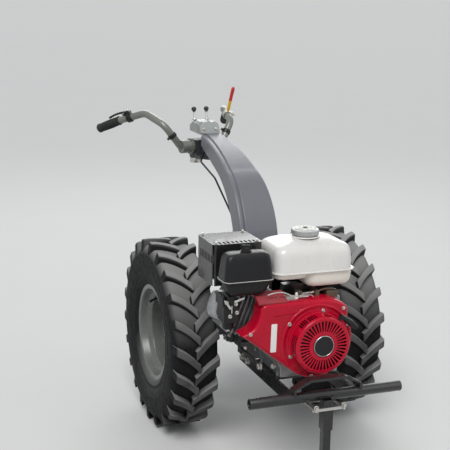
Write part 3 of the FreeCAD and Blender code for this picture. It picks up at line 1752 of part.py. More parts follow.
def build_all():
    for side, word in ((-1, "left"), (1, "right")):
        make_tyre(f"tyre_{word}", side)
        make_rim(f"rim_{word}", side)
        make_hub(f"hub_{word}", side)
        make_axle_tube(f"axle_tube_{word}", side)
    for make in (make_gearbox, make_clutch_housing, make_pto, make_hitch, make_engine_block,
                 make_cylinder, make_valve_cover, make_shroud, make_starter, make_starter_disc,
                 make_pull_handle, make_tank, make_tank_bracket, make_cap, make_cleaner_cover,
                 make_cleaner_base, make_cleaner_knob, make_carburettor, make_linkage,
                 make_muffler, make_exhaust, make_guard, make_engine_frame, make_bar, make_hoop,
                 make_post, make_clamp, make_leg, make_column, make_spine, make_head,
                 make_console, make_cable, make_yoke, make_lock_knob,
                 make_crosspiece):
        make()
    make_lever("gear_lever", S.gear_lever_x)
    make_lever("speed_lever", S.speed_lever_x)
    for side, word in ((-1, "left"), (1, "right")):
        make_handle_tube(f"handle_tube_{word}", side)
        make_grip(f"grip_{word}", side)
    make_clutch_lever()


def centre_on_ground():
    """Moves every piece along Y, so that the origin is under the middle of the machine."""
    DOC.recompute()
    box = FreeCAD.BoundBox()
    for piece in PIECES:
        box.add(piece.Shape.optimalBoundingBox(False))
    shift = -(box.YMin + box.YMax) / 2
    for piece in PIECES:
        for path, _ in piece.ExpressionEngine:
            if path.strip(".") == "Placement.Base.y":
                piece.setExpression("Placement.Base.y", None)
        piece.Placement.Base.y += shift
    DOC.recompute()
    return shift


def check_document():
    for thing in DOC.Objects:
        if "Invalid" in thing.State or "Error" in thing.State:
            raise RuntimeError(f"{thing.Name} ({thing.Label}) is {thing.State}")
    for piece in PIECES:
        if piece.Shape.isNull() or not piece.Shape.isValid():
            raise RuntimeError(f"{piece.Label} has no valid shape")


build_all()
AXLE_Y = centre_on_ground()
check_document()
os.makedirs("parts", exist_ok=True)
for piece in PIECES:
    piece.Shape.exportStep(os.path.join("parts", f"{piece.Label}.step"))
print(f"{len(PIECES)} pieces, wheel axis at Y {AXLE_Y:.2f}")
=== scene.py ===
"""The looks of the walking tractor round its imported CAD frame. Metres, in the part's own frame:
X across the machine, the engine towards -Y, Z up. Places are given from the wheel axis."""

import math

import bmesh
import bpy
from mathutils import Matrix, Vector
from mathutils.geometry import tessellate_polygon


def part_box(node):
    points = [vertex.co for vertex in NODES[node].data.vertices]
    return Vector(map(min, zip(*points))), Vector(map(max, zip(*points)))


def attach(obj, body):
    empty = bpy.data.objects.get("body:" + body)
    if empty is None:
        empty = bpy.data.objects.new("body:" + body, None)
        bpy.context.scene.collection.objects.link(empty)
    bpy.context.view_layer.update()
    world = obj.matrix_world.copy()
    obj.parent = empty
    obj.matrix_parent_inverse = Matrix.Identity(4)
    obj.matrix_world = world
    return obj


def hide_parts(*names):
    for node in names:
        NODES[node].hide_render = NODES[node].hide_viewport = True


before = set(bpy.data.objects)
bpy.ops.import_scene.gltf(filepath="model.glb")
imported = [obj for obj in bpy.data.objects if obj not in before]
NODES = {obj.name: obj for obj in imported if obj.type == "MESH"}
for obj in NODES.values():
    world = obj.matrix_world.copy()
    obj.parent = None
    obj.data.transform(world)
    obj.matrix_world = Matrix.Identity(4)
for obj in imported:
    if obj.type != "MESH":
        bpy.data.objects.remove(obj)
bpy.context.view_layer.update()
AXLE_LOW, AXLE_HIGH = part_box("hub_left")
AXLE = (AXLE_LOW + AXLE_HIGH) / 2
X_AXIS, Y_AXIS, Z_AXIS = Vector((1, 0, 0)), Vector((0, 1, 0)), Vector((0, 0, 1))
MM = 0.001


def here(x, y, z):
    """A place measured along Y from the wheel axis."""
    return Vector((x, y + AXLE.y, z))


def at(x, y, z):
    """The same in millimetres."""
    return here(x * MM, y * MM, z * MM)


# Materials

class Shader:
    """One material's node tree, with short calls for what the finishes share."""

    def __init__(self, name, roughness, metallic=0.0, coat=0.0, specular=0.5):
        self.material = bpy.data.materials.new(name)
        self.material.use_nodes = True
        self.tree = self.material.node_tree
        self.surface = self.tree.nodes["Principled BSDF"]
        self.place = self.tree.nodes.new("ShaderNodeTexCoord").outputs["Object"]
        for socket, value in (("Roughness", roughness), ("Metallic", metallic),
                              ("Coat Weight", coat), ("Specular IOR Level", specular)):
            self.surface.inputs[socket].default_value = value

    def feed(self, socket, value):
        if isinstance(value, bpy.types.NodeSocket):
            self.tree.links.new(value, socket)
        else:
            socket.default_value = value

    def node(self, kind, inputs=(), **options):
        made = self.tree.nodes.new(f"ShaderNode{kind}")
        for name, value in options.items():
            setattr(made, name, value)
        for name, value in dict(inputs).items():
            self.feed(made.inputs[name], value)
        return made

    def noise(self, scale, detail=3.0, stretch=(1, 1, 1)):
        """Noise whose features are about 1/scale metres across, drawn out by stretch."""
        spread = self.node("Mapping", {"Vector": self.place, "Scale": stretch})
        made = self.node("TexNoise", {"Vector": spread.outputs[0], "Scale": scale,
                                      "Detail": detail})
        return made.outputs[0]

    def span(self, value, low, high, start=0.0, end=1.0):
        """Maps low..high to start..end and stops at those ends."""
        return self.node("MapRange", {"Value": value, "From Min": low, "From Max": high,
                                      "To Min": start, "To Max": end}).outputs[0]

    def times(self, first, second):
        made = self.node("Math", operation="MULTIPLY")
        self.feed(made.inputs[0], first)
        self.feed(made.inputs[1], second)
        return made.outputs[0]

    def mix(self, share, first, second):
        made = self.node("Mix", data_type="RGBA")
        for index, value in ((0, share), (6, first), (7, second)):
            self.feed(made.inputs[index], value)
        return made.outputs[2]

    def facing_up(self, low=0.2, high=0.95):
        """How far a surface faces up, from 0 to 1, where dust settles and, on the tyre, where a painted
        highlight lies.
        """
        normal = self.node("NewGeometry").outputs["Normal"]
        parts = self.node("SeparateXYZ", {"Vector": normal})
        return self.span(parts.outputs["Z"], low, high)

    def colour(self, value):
        self.feed(self.surface.inputs["Base Color"], value)

    def bump(self, height, depth, strength=1.0):
        made = self.node("Bump", {"Height": height, "Distance": depth, "Strength": strength})
        self.feed(self.surface.inputs["Normal"], made.outputs[0])

    def roughness(self, value):
        self.feed(self.surface.inputs["Roughness"], value)


def rgb(red, green, blue):
    return (red, green, blue, 1.0)


DUST = rgb(0.33, 0.31, 0.27)


def finish_paint(name, colour, shade, roughness, dust=0.25, coat=0.0, metallic=0.0, peel=0.00003,
                 specular=0.5):
    """Sprayed paint: slow drift of tone, a faint orange peel and dust on what faces up."""
    shader = Shader(name, roughness, metallic, coat, specular)
    tone = shader.span(shader.noise(7, 4), 0.35, 0.7)
    painted = shader.mix(tone, colour, shade)
    specks = shader.span(shader.noise(18, 5), 0.15, 0.85)
    settled = shader.times(shader.times(shader.facing_up(), specks), dust)
    shader.colour(shader.mix(settled, painted, DUST))
    scuffs = shader.noise(26, 4)
    shader.roughness(shader.span(scuffs, 0.3, 0.7, roughness * 0.9, min(1, roughness * 1.2)))
    shader.bump(shader.noise(260, 2), peel)
    return shader.material


def finish_cast(name, colour, shade, roughness=0.5, metallic=0.6, grain=1100, depth=0.00025):
    """Sand-cast metal: grainy bump with dark grime drifting over it."""
    shader = Shader(name, roughness, metallic)
    grime = shader.span(shader.noise(16, 6), 0.45, 0.72)
    shader.colour(shader.mix(grime, colour, shade))
    shader.roughness(shader.span(shader.noise(60, 4), 0.3, 0.7, roughness * 0.8, roughness * 1.3))
    shader.bump(shader.noise(grain, 4), depth)
    return shader.material


def finish_rubber(name, colour, dusty, dust):
    """Moulded rubber with dry dust that gathers on upper faces."""
    shader = Shader(name, 0.72, specular=0.35)
    patches = shader.span(shader.noise(11, 6), 0.35, 0.65)
    worn = shader.mix(shader.times(patches, 0.28), colour, dusty)
    settled = shader.times(shader.facing_up(0.0, 0.9), dust)
    shader.colour(shader.mix(settled, worn, dusty))
    shader.bump(shader.noise(900, 3), 0.0002)
    return shader.material


def finish_tread(name, colour, dusty, dust):
    """Tyre rubber: the bars' tops are scuffed pale, and what faces up is paler, partly dry soil and
    partly a painted highlight of the light from above.
    """
    shader = Shader(name, 0.70, specular=0.15)
    parts = shader.node("SeparateXYZ", {"Vector": shader.place})
    back = shader.node("Math", operation="ADD")
    shader.feed(back.inputs[0], parts.outputs["Y"])
    shader.feed(back.inputs[1], -AXLE.y)
    up = shader.node("Math", operation="ADD")
    shader.feed(up.inputs[0], parts.outputs["Z"])
    shader.feed(up.inputs[1], -AXLE.z)
    radius = shader.node("Math", operation="SQRT")
    total = shader.node("Math", operation="ADD")
    shader.feed(total.inputs[0], shader.times(back.outputs[0], back.outputs[0]))
    shader.feed(total.inputs[1], shader.times(up.outputs[0], up.outputs[0]))
    shader.feed(radius.inputs[0], total.outputs[0])
    scuffed = shader.span(radius.outputs[0], 0.3150, 0.3235, 0.0, 0.34)
    patches = shader.span(shader.noise(13, 6), 0.3, 0.65, 0.35, 1.0)
    worn = shader.mix(shader.times(scuffed, patches), colour, dusty)
    # Paler where the rubber faces up: partly settled dry soil, partly painted highlight of the light on
    # the tyre's top.
    settled = shader.times(shader.facing_up(0.12, 0.9), dust)
    shader.colour(shader.mix(settled, worn, dusty))
    shader.roughness(shader.span(shader.noise(70, 5), 0.3, 0.7, 0.58, 0.82))
    shader.bump(shader.noise(900, 3), 0.0002)
    return shader.material


def finish_plastic(name, colour, shade, roughness, grain=1500, depth=0.00012, dust=0.3,
                   specular=0.5):
    """Moulded plastic with a fine leather-like grain and a little settled dust."""
    shader = Shader(name, roughness, specular=specular)
    drift = shader.span(shader.noise(9, 4), 0.4, 0.7)
    plain = shader.mix(drift, colour, shade)
    settled = shader.times(shader.times(shader.facing_up(0.5), dust),
                           shader.span(shader.noise(35, 5), 0.3, 0.7))
    shader.colour(shader.mix(settled, plain, DUST))
    cells = shader.node("TexVoronoi", {"Vector": shader.place, "Scale": grain})
    shader.bump(cells.outputs["Distance"], depth)
    return shader.material


def finish_plated(name, colour, tint, roughness=0.3, stretch=(1, 1, 1)):
    """Zinc-plated or bare metal: tone and tint drift, with fine drawn marks."""
    shader = Shader(name, roughness, 1.0)
    shader.colour(shader.mix(shader.span(shader.noise(45, 4), 0.35, 0.65), colour, tint))
    marks = shader.noise(700, 3, stretch)
    shader.roughness(shader.span(marks, 0.3, 0.7, roughness * 0.7, roughness * 1.5))
    shader.bump(marks, 0.00005)
    return shader.material


RUBBER = finish_tread("tyre rubber", rgb(0.008, 0.008, 0.009), rgb(0.29, 0.29, 0.28), 0.80)
# The rim enamel is darkened well below the rim's own silver-grey paint: painted shade for the shade the
# rim sits in.
RIM = finish_paint("rim enamel darkened as painted shade", rgb(0.115, 0.125, 0.115), rgb(0.08, 0.087, 0.08), 0.28, dust=0.2)
DARK_STEEL = finish_cast("dark forging", rgb(0.11, 0.11, 0.115), rgb(0.05, 0.05, 0.05), 0.5, 0.7)
CHARCOAL_CAST = finish_cast("charcoal casting", rgb(0.055, 0.058, 0.066),
                            rgb(0.035, 0.035, 0.037), 0.48, 0.2)
ALLOY = finish_cast("cast alloy", rgb(0.34, 0.345, 0.35), rgb(0.15, 0.145, 0.14), 0.42, 0.8)
RED = finish_paint("crimson enamel", rgb(0.46, 0.0015, 0.022), rgb(0.39, 0.0012, 0.018), 0.24,
                   dust=0.0, coat=0.12, specular=0.22)
WHITE = finish_paint("tank enamel", rgb(0.68, 0.67, 0.645), rgb(0.62, 0.605, 0.57), 0.28,
                     dust=0.06, coat=0.3)
BLACK_PLASTIC = finish_plastic("black moulding", rgb(0.007, 0.007, 0.008),
                               rgb(0.011, 0.011, 0.012), 0.32, dust=0.05, specular=0.3)
FRAME_PAINT = finish_paint("black enamel", rgb(0.009, 0.009, 0.010), rgb(0.014, 0.014, 0.014),
                           0.27, dust=0.04, coat=0.2, peel=0.00001)
ZINC = finish_plated("zinc plate", rgb(0.60, 0.60, 0.59), rgb(0.54, 0.52, 0.47), 0.34)
DULL_SHEET = finish_plated("heated sheet", rgb(0.20, 0.19, 0.18), rgb(0.13, 0.105, 0.085), 0.5)
COLUMN_GREY = finish_plastic("charcoal cover", rgb(0.135, 0.139, 0.156),
                             rgb(0.150, 0.154, 0.172), 0.38, grain=1200, depth=0.00005, dust=0.06)
CONSOLE_GREY = finish_cast("light grey casting", rgb(0.33, 0.355, 0.345), rgb(0.24, 0.255, 0.25),
                           0.42, 0.25, grain=800, depth=0.00012)
HANDLE_ENAMEL = finish_paint("silver grey enamel", rgb(0.20, 0.21, 0.185),
                             rgb(0.14, 0.15, 0.13), 0.30, dust=0.1, metallic=0.3)
GRIP_RUBBER = finish_rubber("grip rubber", rgb(0.012, 0.012, 0.013), rgb(0.05, 0.05, 0.05), 0.3)
LEVER_RED = finish_paint("red lever coat", rgb(0.62, 0.03, 0.02), rgb(0.50, 0.02, 0.02), 0.35)
KNOB_DARK = finish_plastic("knob phenolic", rgb(0.012, 0.018, 0.016), rgb(0.02, 0.024, 0.022),
                           0.22, depth=0.00002, dust=0.1)

CAP_METAL = finish_cast("grimy cap metal", rgb(0.42, 0.43, 0.42), rgb(0.12, 0.12, 0.115), 0.4, 0.5,
                        grain=900, depth=0.0001)
BRONZED = finish_cast("bronzed steel", rgb(0.16, 0.12, 0.085), rgb(0.06, 0.055, 0.05), 0.5, 0.6)
BRIGHT_ALLOY = finish_plated("polished alloy", rgb(0.40, 0.41, 0.42), rgb(0.30, 0.30, 0.30), 0.28)
PLATE_GREY = finish_paint("light grey plate", rgb(0.36, 0.385, 0.375), rgb(0.30, 0.32, 0.31), 0.4,
                          dust=0.2)
TANK_BEIGE = finish_paint("tank underside enamel", rgb(0.78, 0.75, 0.67), rgb(0.70, 0.66, 0.58), 0.40,
                         dust=0.2)
LABEL = finish_plastic("blank label film", rgb(0.74, 0.74, 0.72), rgb(0.66, 0.66, 0.63), 0.35,
                       grain=2400, depth=0.00002, dust=0.1)
CAP_PALE = finish_plastic("pale moulding", rgb(0.62, 0.62, 0.58), rgb(0.50, 0.50, 0.46), 0.5,
                          dust=0.25)
# A darker copy of the crimson enamel: painted shade for the ridged plate that lies in shade under the
# tank.
RED_PAINTED_SHADE = finish_paint("shaded crimson enamel", rgb(0.34, 0.004, 0.020), rgb(0.22, 0.003, 0.012),
                        0.34, dust=0.25)
# Black for thin sheets laid where openings are dark inside: painted shade.
SHADOW = finish_plastic("painted shade black", rgb(0.008, 0.008, 0.009), rgb(0.014, 0.014, 0.015), 0.6)
LEVER_YELLOW = finish_paint("yellow lever coat", rgb(0.70, 0.42, 0.02), rgb(0.60, 0.34, 0.02), 0.4)

# Node: (material, width of the bevel that breaks its sharp edges)
CAD_FINISH = {
    "tyre_left": (RUBBER, 0.002), "tyre_right": (RUBBER, 0.002),
    "rim_left": (RIM, 0.001), "rim_right": (RIM, 0.001),
    "hub_left": (DARK_STEEL, 0.001), "hub_right": (DARK_STEEL, 0.001),
    "axle_tube_left": (CHARCOAL_CAST, 0.001), "axle_tube_right": (CHARCOAL_CAST, 0.001),
    "gearbox_housing": (CHARCOAL_CAST, 0.002), "clutch_housing": (ALLOY, 0.0015),
    "pto_stub": (DARK_STEEL, 0.0008), "rear_hitch": (FRAME_PAINT, 0.001),
    "engine_block": (ALLOY, 0.003), "cylinder_barrel": (ALLOY, 0.0008),
    "valve_cover": (ALLOY, 0.002), "fan_shroud": (RED, 0.002),
    "recoil_starter": (RED, 0.0008), "starter_disc": (BLACK_PLASTIC, 0.001),
    "starter_handle": (BLACK_PLASTIC, 0.001), "fuel_tank": (WHITE, 0.002),
    "tank_bracket": (FRAME_PAINT, 0.001), "fuel_cap": (CONSOLE_GREY, 0.001),
    "air_cleaner_cover": (BLACK_PLASTIC, 0.002), "air_cleaner_base": (BLACK_PLASTIC, 0.002),
    "air_cleaner_knob": (BLACK_PLASTIC, 0.001), "carburettor": (BLACK_PLASTIC, 0.001),
    "throttle_cable": (BLACK_PLASTIC, 0.0004),
    "control_linkage": (ZINC, 0.0004), "muffler": (DULL_SHEET, 0.001),
    "exhaust_pipe": (DULL_SHEET, 0.0008), "muffler_guard": (FRAME_PAINT, 0.0006),
    "engine_frame": (FRAME_PAINT, 0.001), "bumper_bar": (FRAME_PAINT, 0.0008),
    "bumper_hoop": (FRAME_PAINT, 0.001), "front_post": (FRAME_PAINT, 0.001),
    "post_clamp": (ZINC, 0.0006), "stand_leg": (FRAME_PAINT, 0.0008),
    "column_cover": (COLUMN_GREY, 0.0015), "column_spine": (FRAME_PAINT, 0.001),
    "steering_head": (CHARCOAL_CAST, 0.001), "console": (CONSOLE_GREY, 0.002),
    "gear_lever": (ZINC, 0.0006), "speed_lever": (ZINC, 0.0006),
    "handlebar_yoke": (CHARCOAL_CAST, 0.0015), "lock_knob": (ZINC, 0.001),
    "handlebar_crosspiece": (HANDLE_ENAMEL, 0.001),
    "handle_tube_left": (HANDLE_ENAMEL, 0.0006), "handle_tube_right": (HANDLE_ENAMEL, 0.0006),
    "grip_left": (GRIP_RUBBER, 0.001), "grip_right": (GRIP_RUBBER, 0.001),
    "clutch_lever": (LEVER_RED, 0.0008),
}
CREASE = math.radians(32)


# Shapes

def rounded(points, radius, steps=5):
    """A closed outline of (across, up) points with its corners rounded."""
    outline = []
    points = [Vector(point) for point in points]
    for before, corner, after in zip(points[-1:] + points[:-1], points, points[1:] + points[:1]):
        reach = min(radius, 0.45 * (before - corner).length, 0.45 * (after - corner).length)
        start = corner + (before - corner).normalized() * reach
        end = corner + (after - corner).normalized() * reach
        for step in range(steps + 1):
            share = step / steps
            outline.append(start * (1 - share) ** 2 + corner * 2 * share * (1 - share)
                           + end * share ** 2)
    return outline


def box_outline(half_across, half_up, radius, steps=6):
    """A rounded rectangle about the origin, with its arcs true to the radius."""
    radius = min(radius, half_across * 0.98, half_up * 0.98)
    outline = []
    for quarter, (across, up) in enumerate(((1, 1), (-1, 1), (-1, -1), (1, -1))):
        for step in range(steps + 1):
            angle = math.radians(90 * (quarter + step / steps))
            outline.append(Vector((across * (half_across - radius) + radius * math.cos(angle),
                                   up * (half_up - radius) + radius * math.sin(angle))))
    return outline


def shrunk(outline, inset):
    """Draws a closed outline in, each point along its own normal. It runs anticlockwise."""
    drawn = []
    count = len(outline)
    for index, point in enumerate(outline):
        along = outline[(index + 1) % count] - outline[index - 1]
        if along.length < 1e-9:
            drawn.append(point.copy())
            continue
        along.normalize()
        drawn.append(point + Vector((-along.y, along.x)) * inset)
    return drawn


def ring_outline(across, up, radius, count):
    """A circle's points, anticlockwise."""
    return [Vector((across + radius * math.cos(2 * math.pi * step / count),
                    up + radius * math.sin(2 * math.pi * step / count))) for step in range(count)]


def slot_outline(inner, outer, inner_half, outer_half, angle, steps=4):
    """A radial slot with round ends, wider or narrower towards its outer end."""
    along = Vector((math.cos(angle), math.sin(angle)))
    side = Vector((-along.y, along.x))
    outline = []
    for middle, half, start in ((outer - outer_half, outer_half, -90),
                                (inner + inner_half, inner_half, 90)):
        for step in range(steps + 1):
            turn = math.radians(start + 180 * step / steps)
            outline.append(along * (middle + half * math.cos(turn)) + side * half * math.sin(turn))
    return outline


def frame_towards(heading, up=None):
    """A turn whose Z axis is the heading."""
    ahead = Vector(heading).normalized()
    side = (Vector(up) if up is not None else Vector((0, 0, 1))).cross(ahead)
    if side.length < 1e-4:
        side = Vector((1, 0, 0)) if abs(ahead.x) < 0.9 else Vector((0, 1, 0))
    side = (side - ahead * side.dot(ahead)).normalized()
    return Matrix((side, ahead.cross(side), ahead)).transposed()


class Form:
    """Gathers the faces of one piece, then hands it over as an object."""

    def __init__(self):
        self.mesh = bmesh.new()

    def skin(self, loops, caps=(True, True), closed=True, ring=False):
        """Joins loops of points into a skin. A ring joins its last loop to its first."""
        rows = [[self.mesh.verts.new(point) for point in loop] for loop in loops]
        pairs = list(zip(rows, rows[1:]))
        if ring:
            pairs.append((rows[-1], rows[0]))
        count = len(rows[0])
        for near, far in pairs:
            for index in range(count if closed else count - 1):
                after = (index + 1) % count
                self.mesh.faces.new((near[index], near[after], far[after], far[index]))
        if not ring:
            if caps[0]:
                self.mesh.faces.new(rows[0][::-1])
            if caps[1]:
                self.mesh.faces.new(rows[-1])

    def turn(self, profile, place, heading, sides=32, caps=(True, True), ring=False):
        """Turns a profile of (along, radius) about a line from a place along a heading."""
        spin = frame_towards(heading)
        loops = []
        for along, radius in profile:
            loops.append([place + spin @ Vector((radius * math.cos(2 * math.pi * step / sides),
                                                 radius * math.sin(2 * math.pi * step / sides),
                                                 along)) for step in range(sides)])
        self.skin(loops, caps, ring=ring)

    def rod(self, start, end, radius, sides=16, edge=0.15):
        """A round bar with softened ends."""
        length = (end - start).length
        soft = min(radius * edge, length * 0.3)
        self.turn([(0, radius - soft), (soft, radius), (length - soft, radius),
                   (length, radius - soft)], start, end - start, sides)

    def pipe(self, path, radius, sides=16, swell=None):
        """A round section carried along a path of points, without twisting."""
        loops = []
        side = None
        for index, point in enumerate(path):
            ahead = (path[min(index + 1, len(path) - 1)] - path[max(index - 1, 0)]).normalized()
            if side is None:
                side = frame_towards(ahead).col[0].copy()
            side = (side - ahead * side.dot(ahead)).normalized()
            up = ahead.cross(side)
            size = radius * (swell(index / (len(path) - 1)) if swell else 1)
            loops.append([point + (side * math.cos(2 * math.pi * step / sides)
                                   + up * math.sin(2 * math.pi * step / sides)) * size
                          for step in range(sides)])
        self.skin(loops)

    def block(self, low, high, radius=0.002, edge=None, taper=0.0):
        """A box with rounded upright edges and softened top and bottom edges."""
        low, high = Vector(low), Vector(high)
        middle = (low + high) / 2
        half = (high - low) / 2
        edge = min(radius if edge is None else edge, half.z * 0.9, half.x * 0.9, half.y * 0.9)
        loops = []
        stations = []
        for step in range(5):
            angle = math.radians(90 * step / 4)
            stations.append((edge * (1 - math.sin(angle)), low.z + edge * (1 - math.cos(angle))))
        for step in range(5):
            angle = math.radians(90 * step / 4)
            stations.append((edge * (1 - math.cos(angle)), high.z - edge * (1 - math.sin(angle))))
        for inset, z in stations:
            drawn = inset + taper * (z - low.z) / (high.z - low.z)
            outline = box_outline(half.x - drawn, half.y - drawn, max(radius - drawn, 0.0004), 4)
            loops.append([Vector((middle.x + point.x, middle.y + point.y, z)) for point in outline])
        self.skin(loops)

    def plate(self, outline, place, heading, thickness, edge=0.0006, up=None):
        """A sheet of an outline, laid from a place along a heading."""
        spin = frame_towards(heading, up)
        loops = [[place + spin @ Vector((point.x, point.y, depth))
                  for point in shrunk(outline, inset)]
                 for inset, depth in ((edge, 0), (0, edge), (0, thickness - edge),
                                      (edge, thickness))]
        self.skin(loops)

    def pierced(self, outline, holes, place, heading, thickness, edge=0.0006, up=None):
        """A sheet with holes in it, laid from a place along a heading."""
        spin = frame_towards(heading, up)
        levels = []
        steps = ((edge, 0), (0, edge), (0, thickness - edge), (edge, thickness))
        for inset, depth in steps if edge else ((0, 0), (0, thickness)):
            rings = [shrunk(outline, inset)] + [shrunk(hole, -inset) for hole in holes]
            levels.append([[self.mesh.verts.new(place + spin @ Vector((point.x, point.y, depth)))
                            for point in ring] for ring in rings])
        for near, far in zip(levels, levels[1:]):
            for first, second in zip(near, far):
                for index in range(len(first)):
                    after = (index + 1) % len(first)
                    self.mesh.faces.new((first[index], first[after], second[after],
                                         second[index]))
        flat = [[Vector((point.x, point.y, 0)) for point in ring] for ring in [outline] + holes]
        for level in (levels[0], levels[-1]):
            corners = [corner for ring in level for corner in ring]
            for triple in tessellate_polygon(flat):
                self.mesh.faces.new([corners[index] for index in triple])

    def bolt(self, place, heading, size, washer=True):
        """A hexagon head on its washer. The size is the width across the head's flats."""
        heading = Vector(heading).normalized()
        spin = frame_towards(heading)
        base = 0.0
        if washer:
            base = size * 0.16
            self.turn([(0, size * 0.78), (base * 0.7, size * 0.78), (base, size * 0.72)], place,
                      heading, 18)
        corner = size / 2 / math.cos(math.radians(30))
        loops = []
        for along, share in ((base, 1), (base + size * 0.5, 1), (base + size * 0.62, 0.86)):
            loops.append([place + spin @ Vector((corner * share * math.cos(math.radians(60 * step)),
                                                 corner * share * math.sin(math.radians(60 * step)),
                                                 along)) for step in range(6)])
        self.skin(loops)

    def coil(self, start, end, radius, wire, turns, sides=8):
        """A coil spring with its ends drawn in."""
        spin = frame_towards(end - start)
        length = (end - start).length
        path = []
        count = int(turns * 14)
        for step in range(count + 1):
            angle = 2 * math.pi * turns * step / count
            path.append(start + spin @ Vector((radius * math.cos(angle), radius * math.sin(angle),
                                               length * step / count)))
        self.pipe(path, wire, sides)

    def done(self, name, material, body, smooth=35, replaces=(), bevel=None,
             wall=None):
        """Makes the object, rides it on its body and hides the CAD parts it replaces."""
        bmesh.ops.recalc_face_normals(self.mesh, faces=self.mesh.faces)
        mesh = bpy.data.meshes.new(name)
        self.mesh.to_mesh(mesh)
        self.mesh.free()
        mesh.materials.append(material)
        mesh.shade_smooth()
        mesh.set_sharp_from_angle(angle=math.radians(smooth))
        made = bpy.data.objects.new(name, mesh)
        bpy.context.scene.collection.objects.link(made)
        if wall:
            shell = made.modifiers.new("Wall", "SOLIDIFY")
            shell.thickness = wall
            shell.offset = -1
        if bevel:
            soft = made.modifiers.new("Bevel", "BEVEL")
            soft.width = bevel
            soft.segments = 2
            soft.limit_method = "ANGLE"
            soft.angle_limit = CREASE
        even = made.modifiers.new("Even", "WEIGHTED_NORMAL")
        even.keep_sharp = True
        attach(made, body)
        if replaces:
            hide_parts(*replaces)
        return made


def curve_through(points, steps=8):
    """A smooth path through points (Catmull-Rom)."""
    points = [Vector(point) for point in points]
    ends = [points[0] * 2 - points[1]] + points + [points[-1] * 2 - points[-2]]
    path = []
    for before, start, end, after in zip(ends, ends[1:], ends[2:], ends[3:]):
        for step in range(steps):
            share = step / steps
            path.append(0.5 * (2 * start + (end - before) * share
                               + (2 * before - 5 * start + 4 * end - after) * share ** 2
                               + (3 * start - before - 3 * end + after) * share ** 3))
    path.append(points[-1])
    return path


def dress_cad():
    """Gives every CAD node its finish and breaks its sharp edges."""
    for name, (material, width) in CAD_FINISH.items():
        node = NODES[name]
        node.data.materials.clear()
        node.data.materials.append(material)
        weld = node.modifiers.new("Weld", "WELD")
        weld.merge_threshold = 0.00001
        bevel = node.modifiers.new("Bevel", "BEVEL")
        bevel.width = width
        bevel.segments = 2
        bevel.limit_method = "ANGLE"
        bevel.angle_limit = CREASE


# Wheels

# Half of the tyre's section, from its bead to its crown: (across, radius) in millimetres
TYRE_SECTION = (
    (54, 152), (57.5, 154), (58.2, 160), (62.5, 166), (67.5, 174), (70.6, 183), (72, 185.5),
    (72.6, 189), (71.8, 192.5), (74.4, 201), (77.2, 216), (78.6, 226), (79.4, 229.5), (79.6, 234),
    (79.0, 238.5), (79.6, 252), (79.6, 264), (79, 274), (76, 285), (70.5, 295), (63, 301.5),
    (50, 304.5), (25, 305.6), (0, 306),
)
LUG_COUNT = 22
LUG_SWEEP = 66
LUG_INNER, LUG_SHOULDER = -8, 71
LUG_TOP_HALF, LUG_ROOT_HALF = 13.4, 15.6
TREAD_RADIUS = 324.6


def carcass_radius(across):
    """The carcass's outer radius at a distance from the middle, beyond its widest ring."""
    outer = [point for point in TYRE_SECTION if point[1] >= 264]
    for (x0, r0), (x1, r1) in zip(outer, outer[1:]):
        if x1 <= abs(across) <= x0:
            return r0 + (r1 - r0) * (x0 - abs(across)) / (x0 - x1)
    return outer[0][1]


def add_lug(form, centre, hand, angle):
    """One bar of the tread: it leaves the middle and sweeps back to the shoulder."""
    stations = [(LUG_INNER, 4.5), (LUG_INNER + 0.8, 1.2), (LUG_INNER + 2.5, 0)]
    stations += [(LUG_INNER + 4 + (LUG_SHOULDER - LUG_INNER - 5) * step / 9, 0) for step in range(10)]
    stations += [(LUG_SHOULDER + 0.8, 0.8), (LUG_SHOULDER + 1.8, 4), (LUG_SHOULDER + 2.6, 12),
                 (LUG_SHOULDER + 5.2, 34), (LUG_SHOULDER + 7.4, 52)]
    loops = []
    for across, drop in stations:
        share = (across - LUG_INNER) / (LUG_SHOULDER - LUG_INNER)
        middle = LUG_SWEEP * (share - 0.5 + 0.1 * math.sin(math.pi * min(share, 1)))
        root = carcass_radius(across) - 5
        top = max(TREAD_RADIUS - drop - max(0, across - 45) ** 2 * 0.002, root + 2)
        rise = top - root
        wide = LUG_TOP_HALF + (LUG_ROOT_HALF - LUG_TOP_HALF) * min(1, drop / 50)
        wide += 2.6 * max(0, 1 - share * 3.5) ** 2
        section = ((-LUG_ROOT_HALF - 3.5, root), (-LUG_ROOT_HALF - 0.6, root + min(7, rise * 0.4)),
                   (-wide - 0.5, top - min(2.4, rise * 0.3)), (-wide + 1.4, top - min(0.5, rise * 0.1)),
                   (-wide * 0.4, top), (wide * 0.4, top),
                   (wide - 1.4, top - min(0.5, rise * 0.1)), (wide + 0.5, top - min(2.4, rise * 0.3)),
                   (LUG_ROOT_HALF + 0.6, root + min(7, rise * 0.4)), (LUG_ROOT_HALF + 3.5, root))
        loop = []
        for offset, radius in section:
            turned = angle + (middle + offset) / TREAD_RADIUS
            loop.append(centre + Vector((hand * across, radius * math.sin(turned),
                                         radius * math.cos(turned))) * MM)
        loops.append(loop)
    form.skin(loops)


def make_tyre(word, centre):
    form = Form()
    half = [(-across * MM, radius * MM) for across, radius in TYRE_SECTION]
    section = half + [(-across, radius) for across, radius in reversed(half[:-1])]
    form.turn(section, centre, X_AXIS, 132, ring=True)
    for step in range(LUG_COUNT):
        angle = 2 * math.pi * step / LUG_COUNT
        add_lug(form, centre, 1, angle)
        add_lug(form, centre, -1, angle + math.pi / LUG_COUNT)
    form.done(f"tyre_{word}_lugged", RUBBER, f"wheel_{word}", 38, [f"tyre_{word}"])


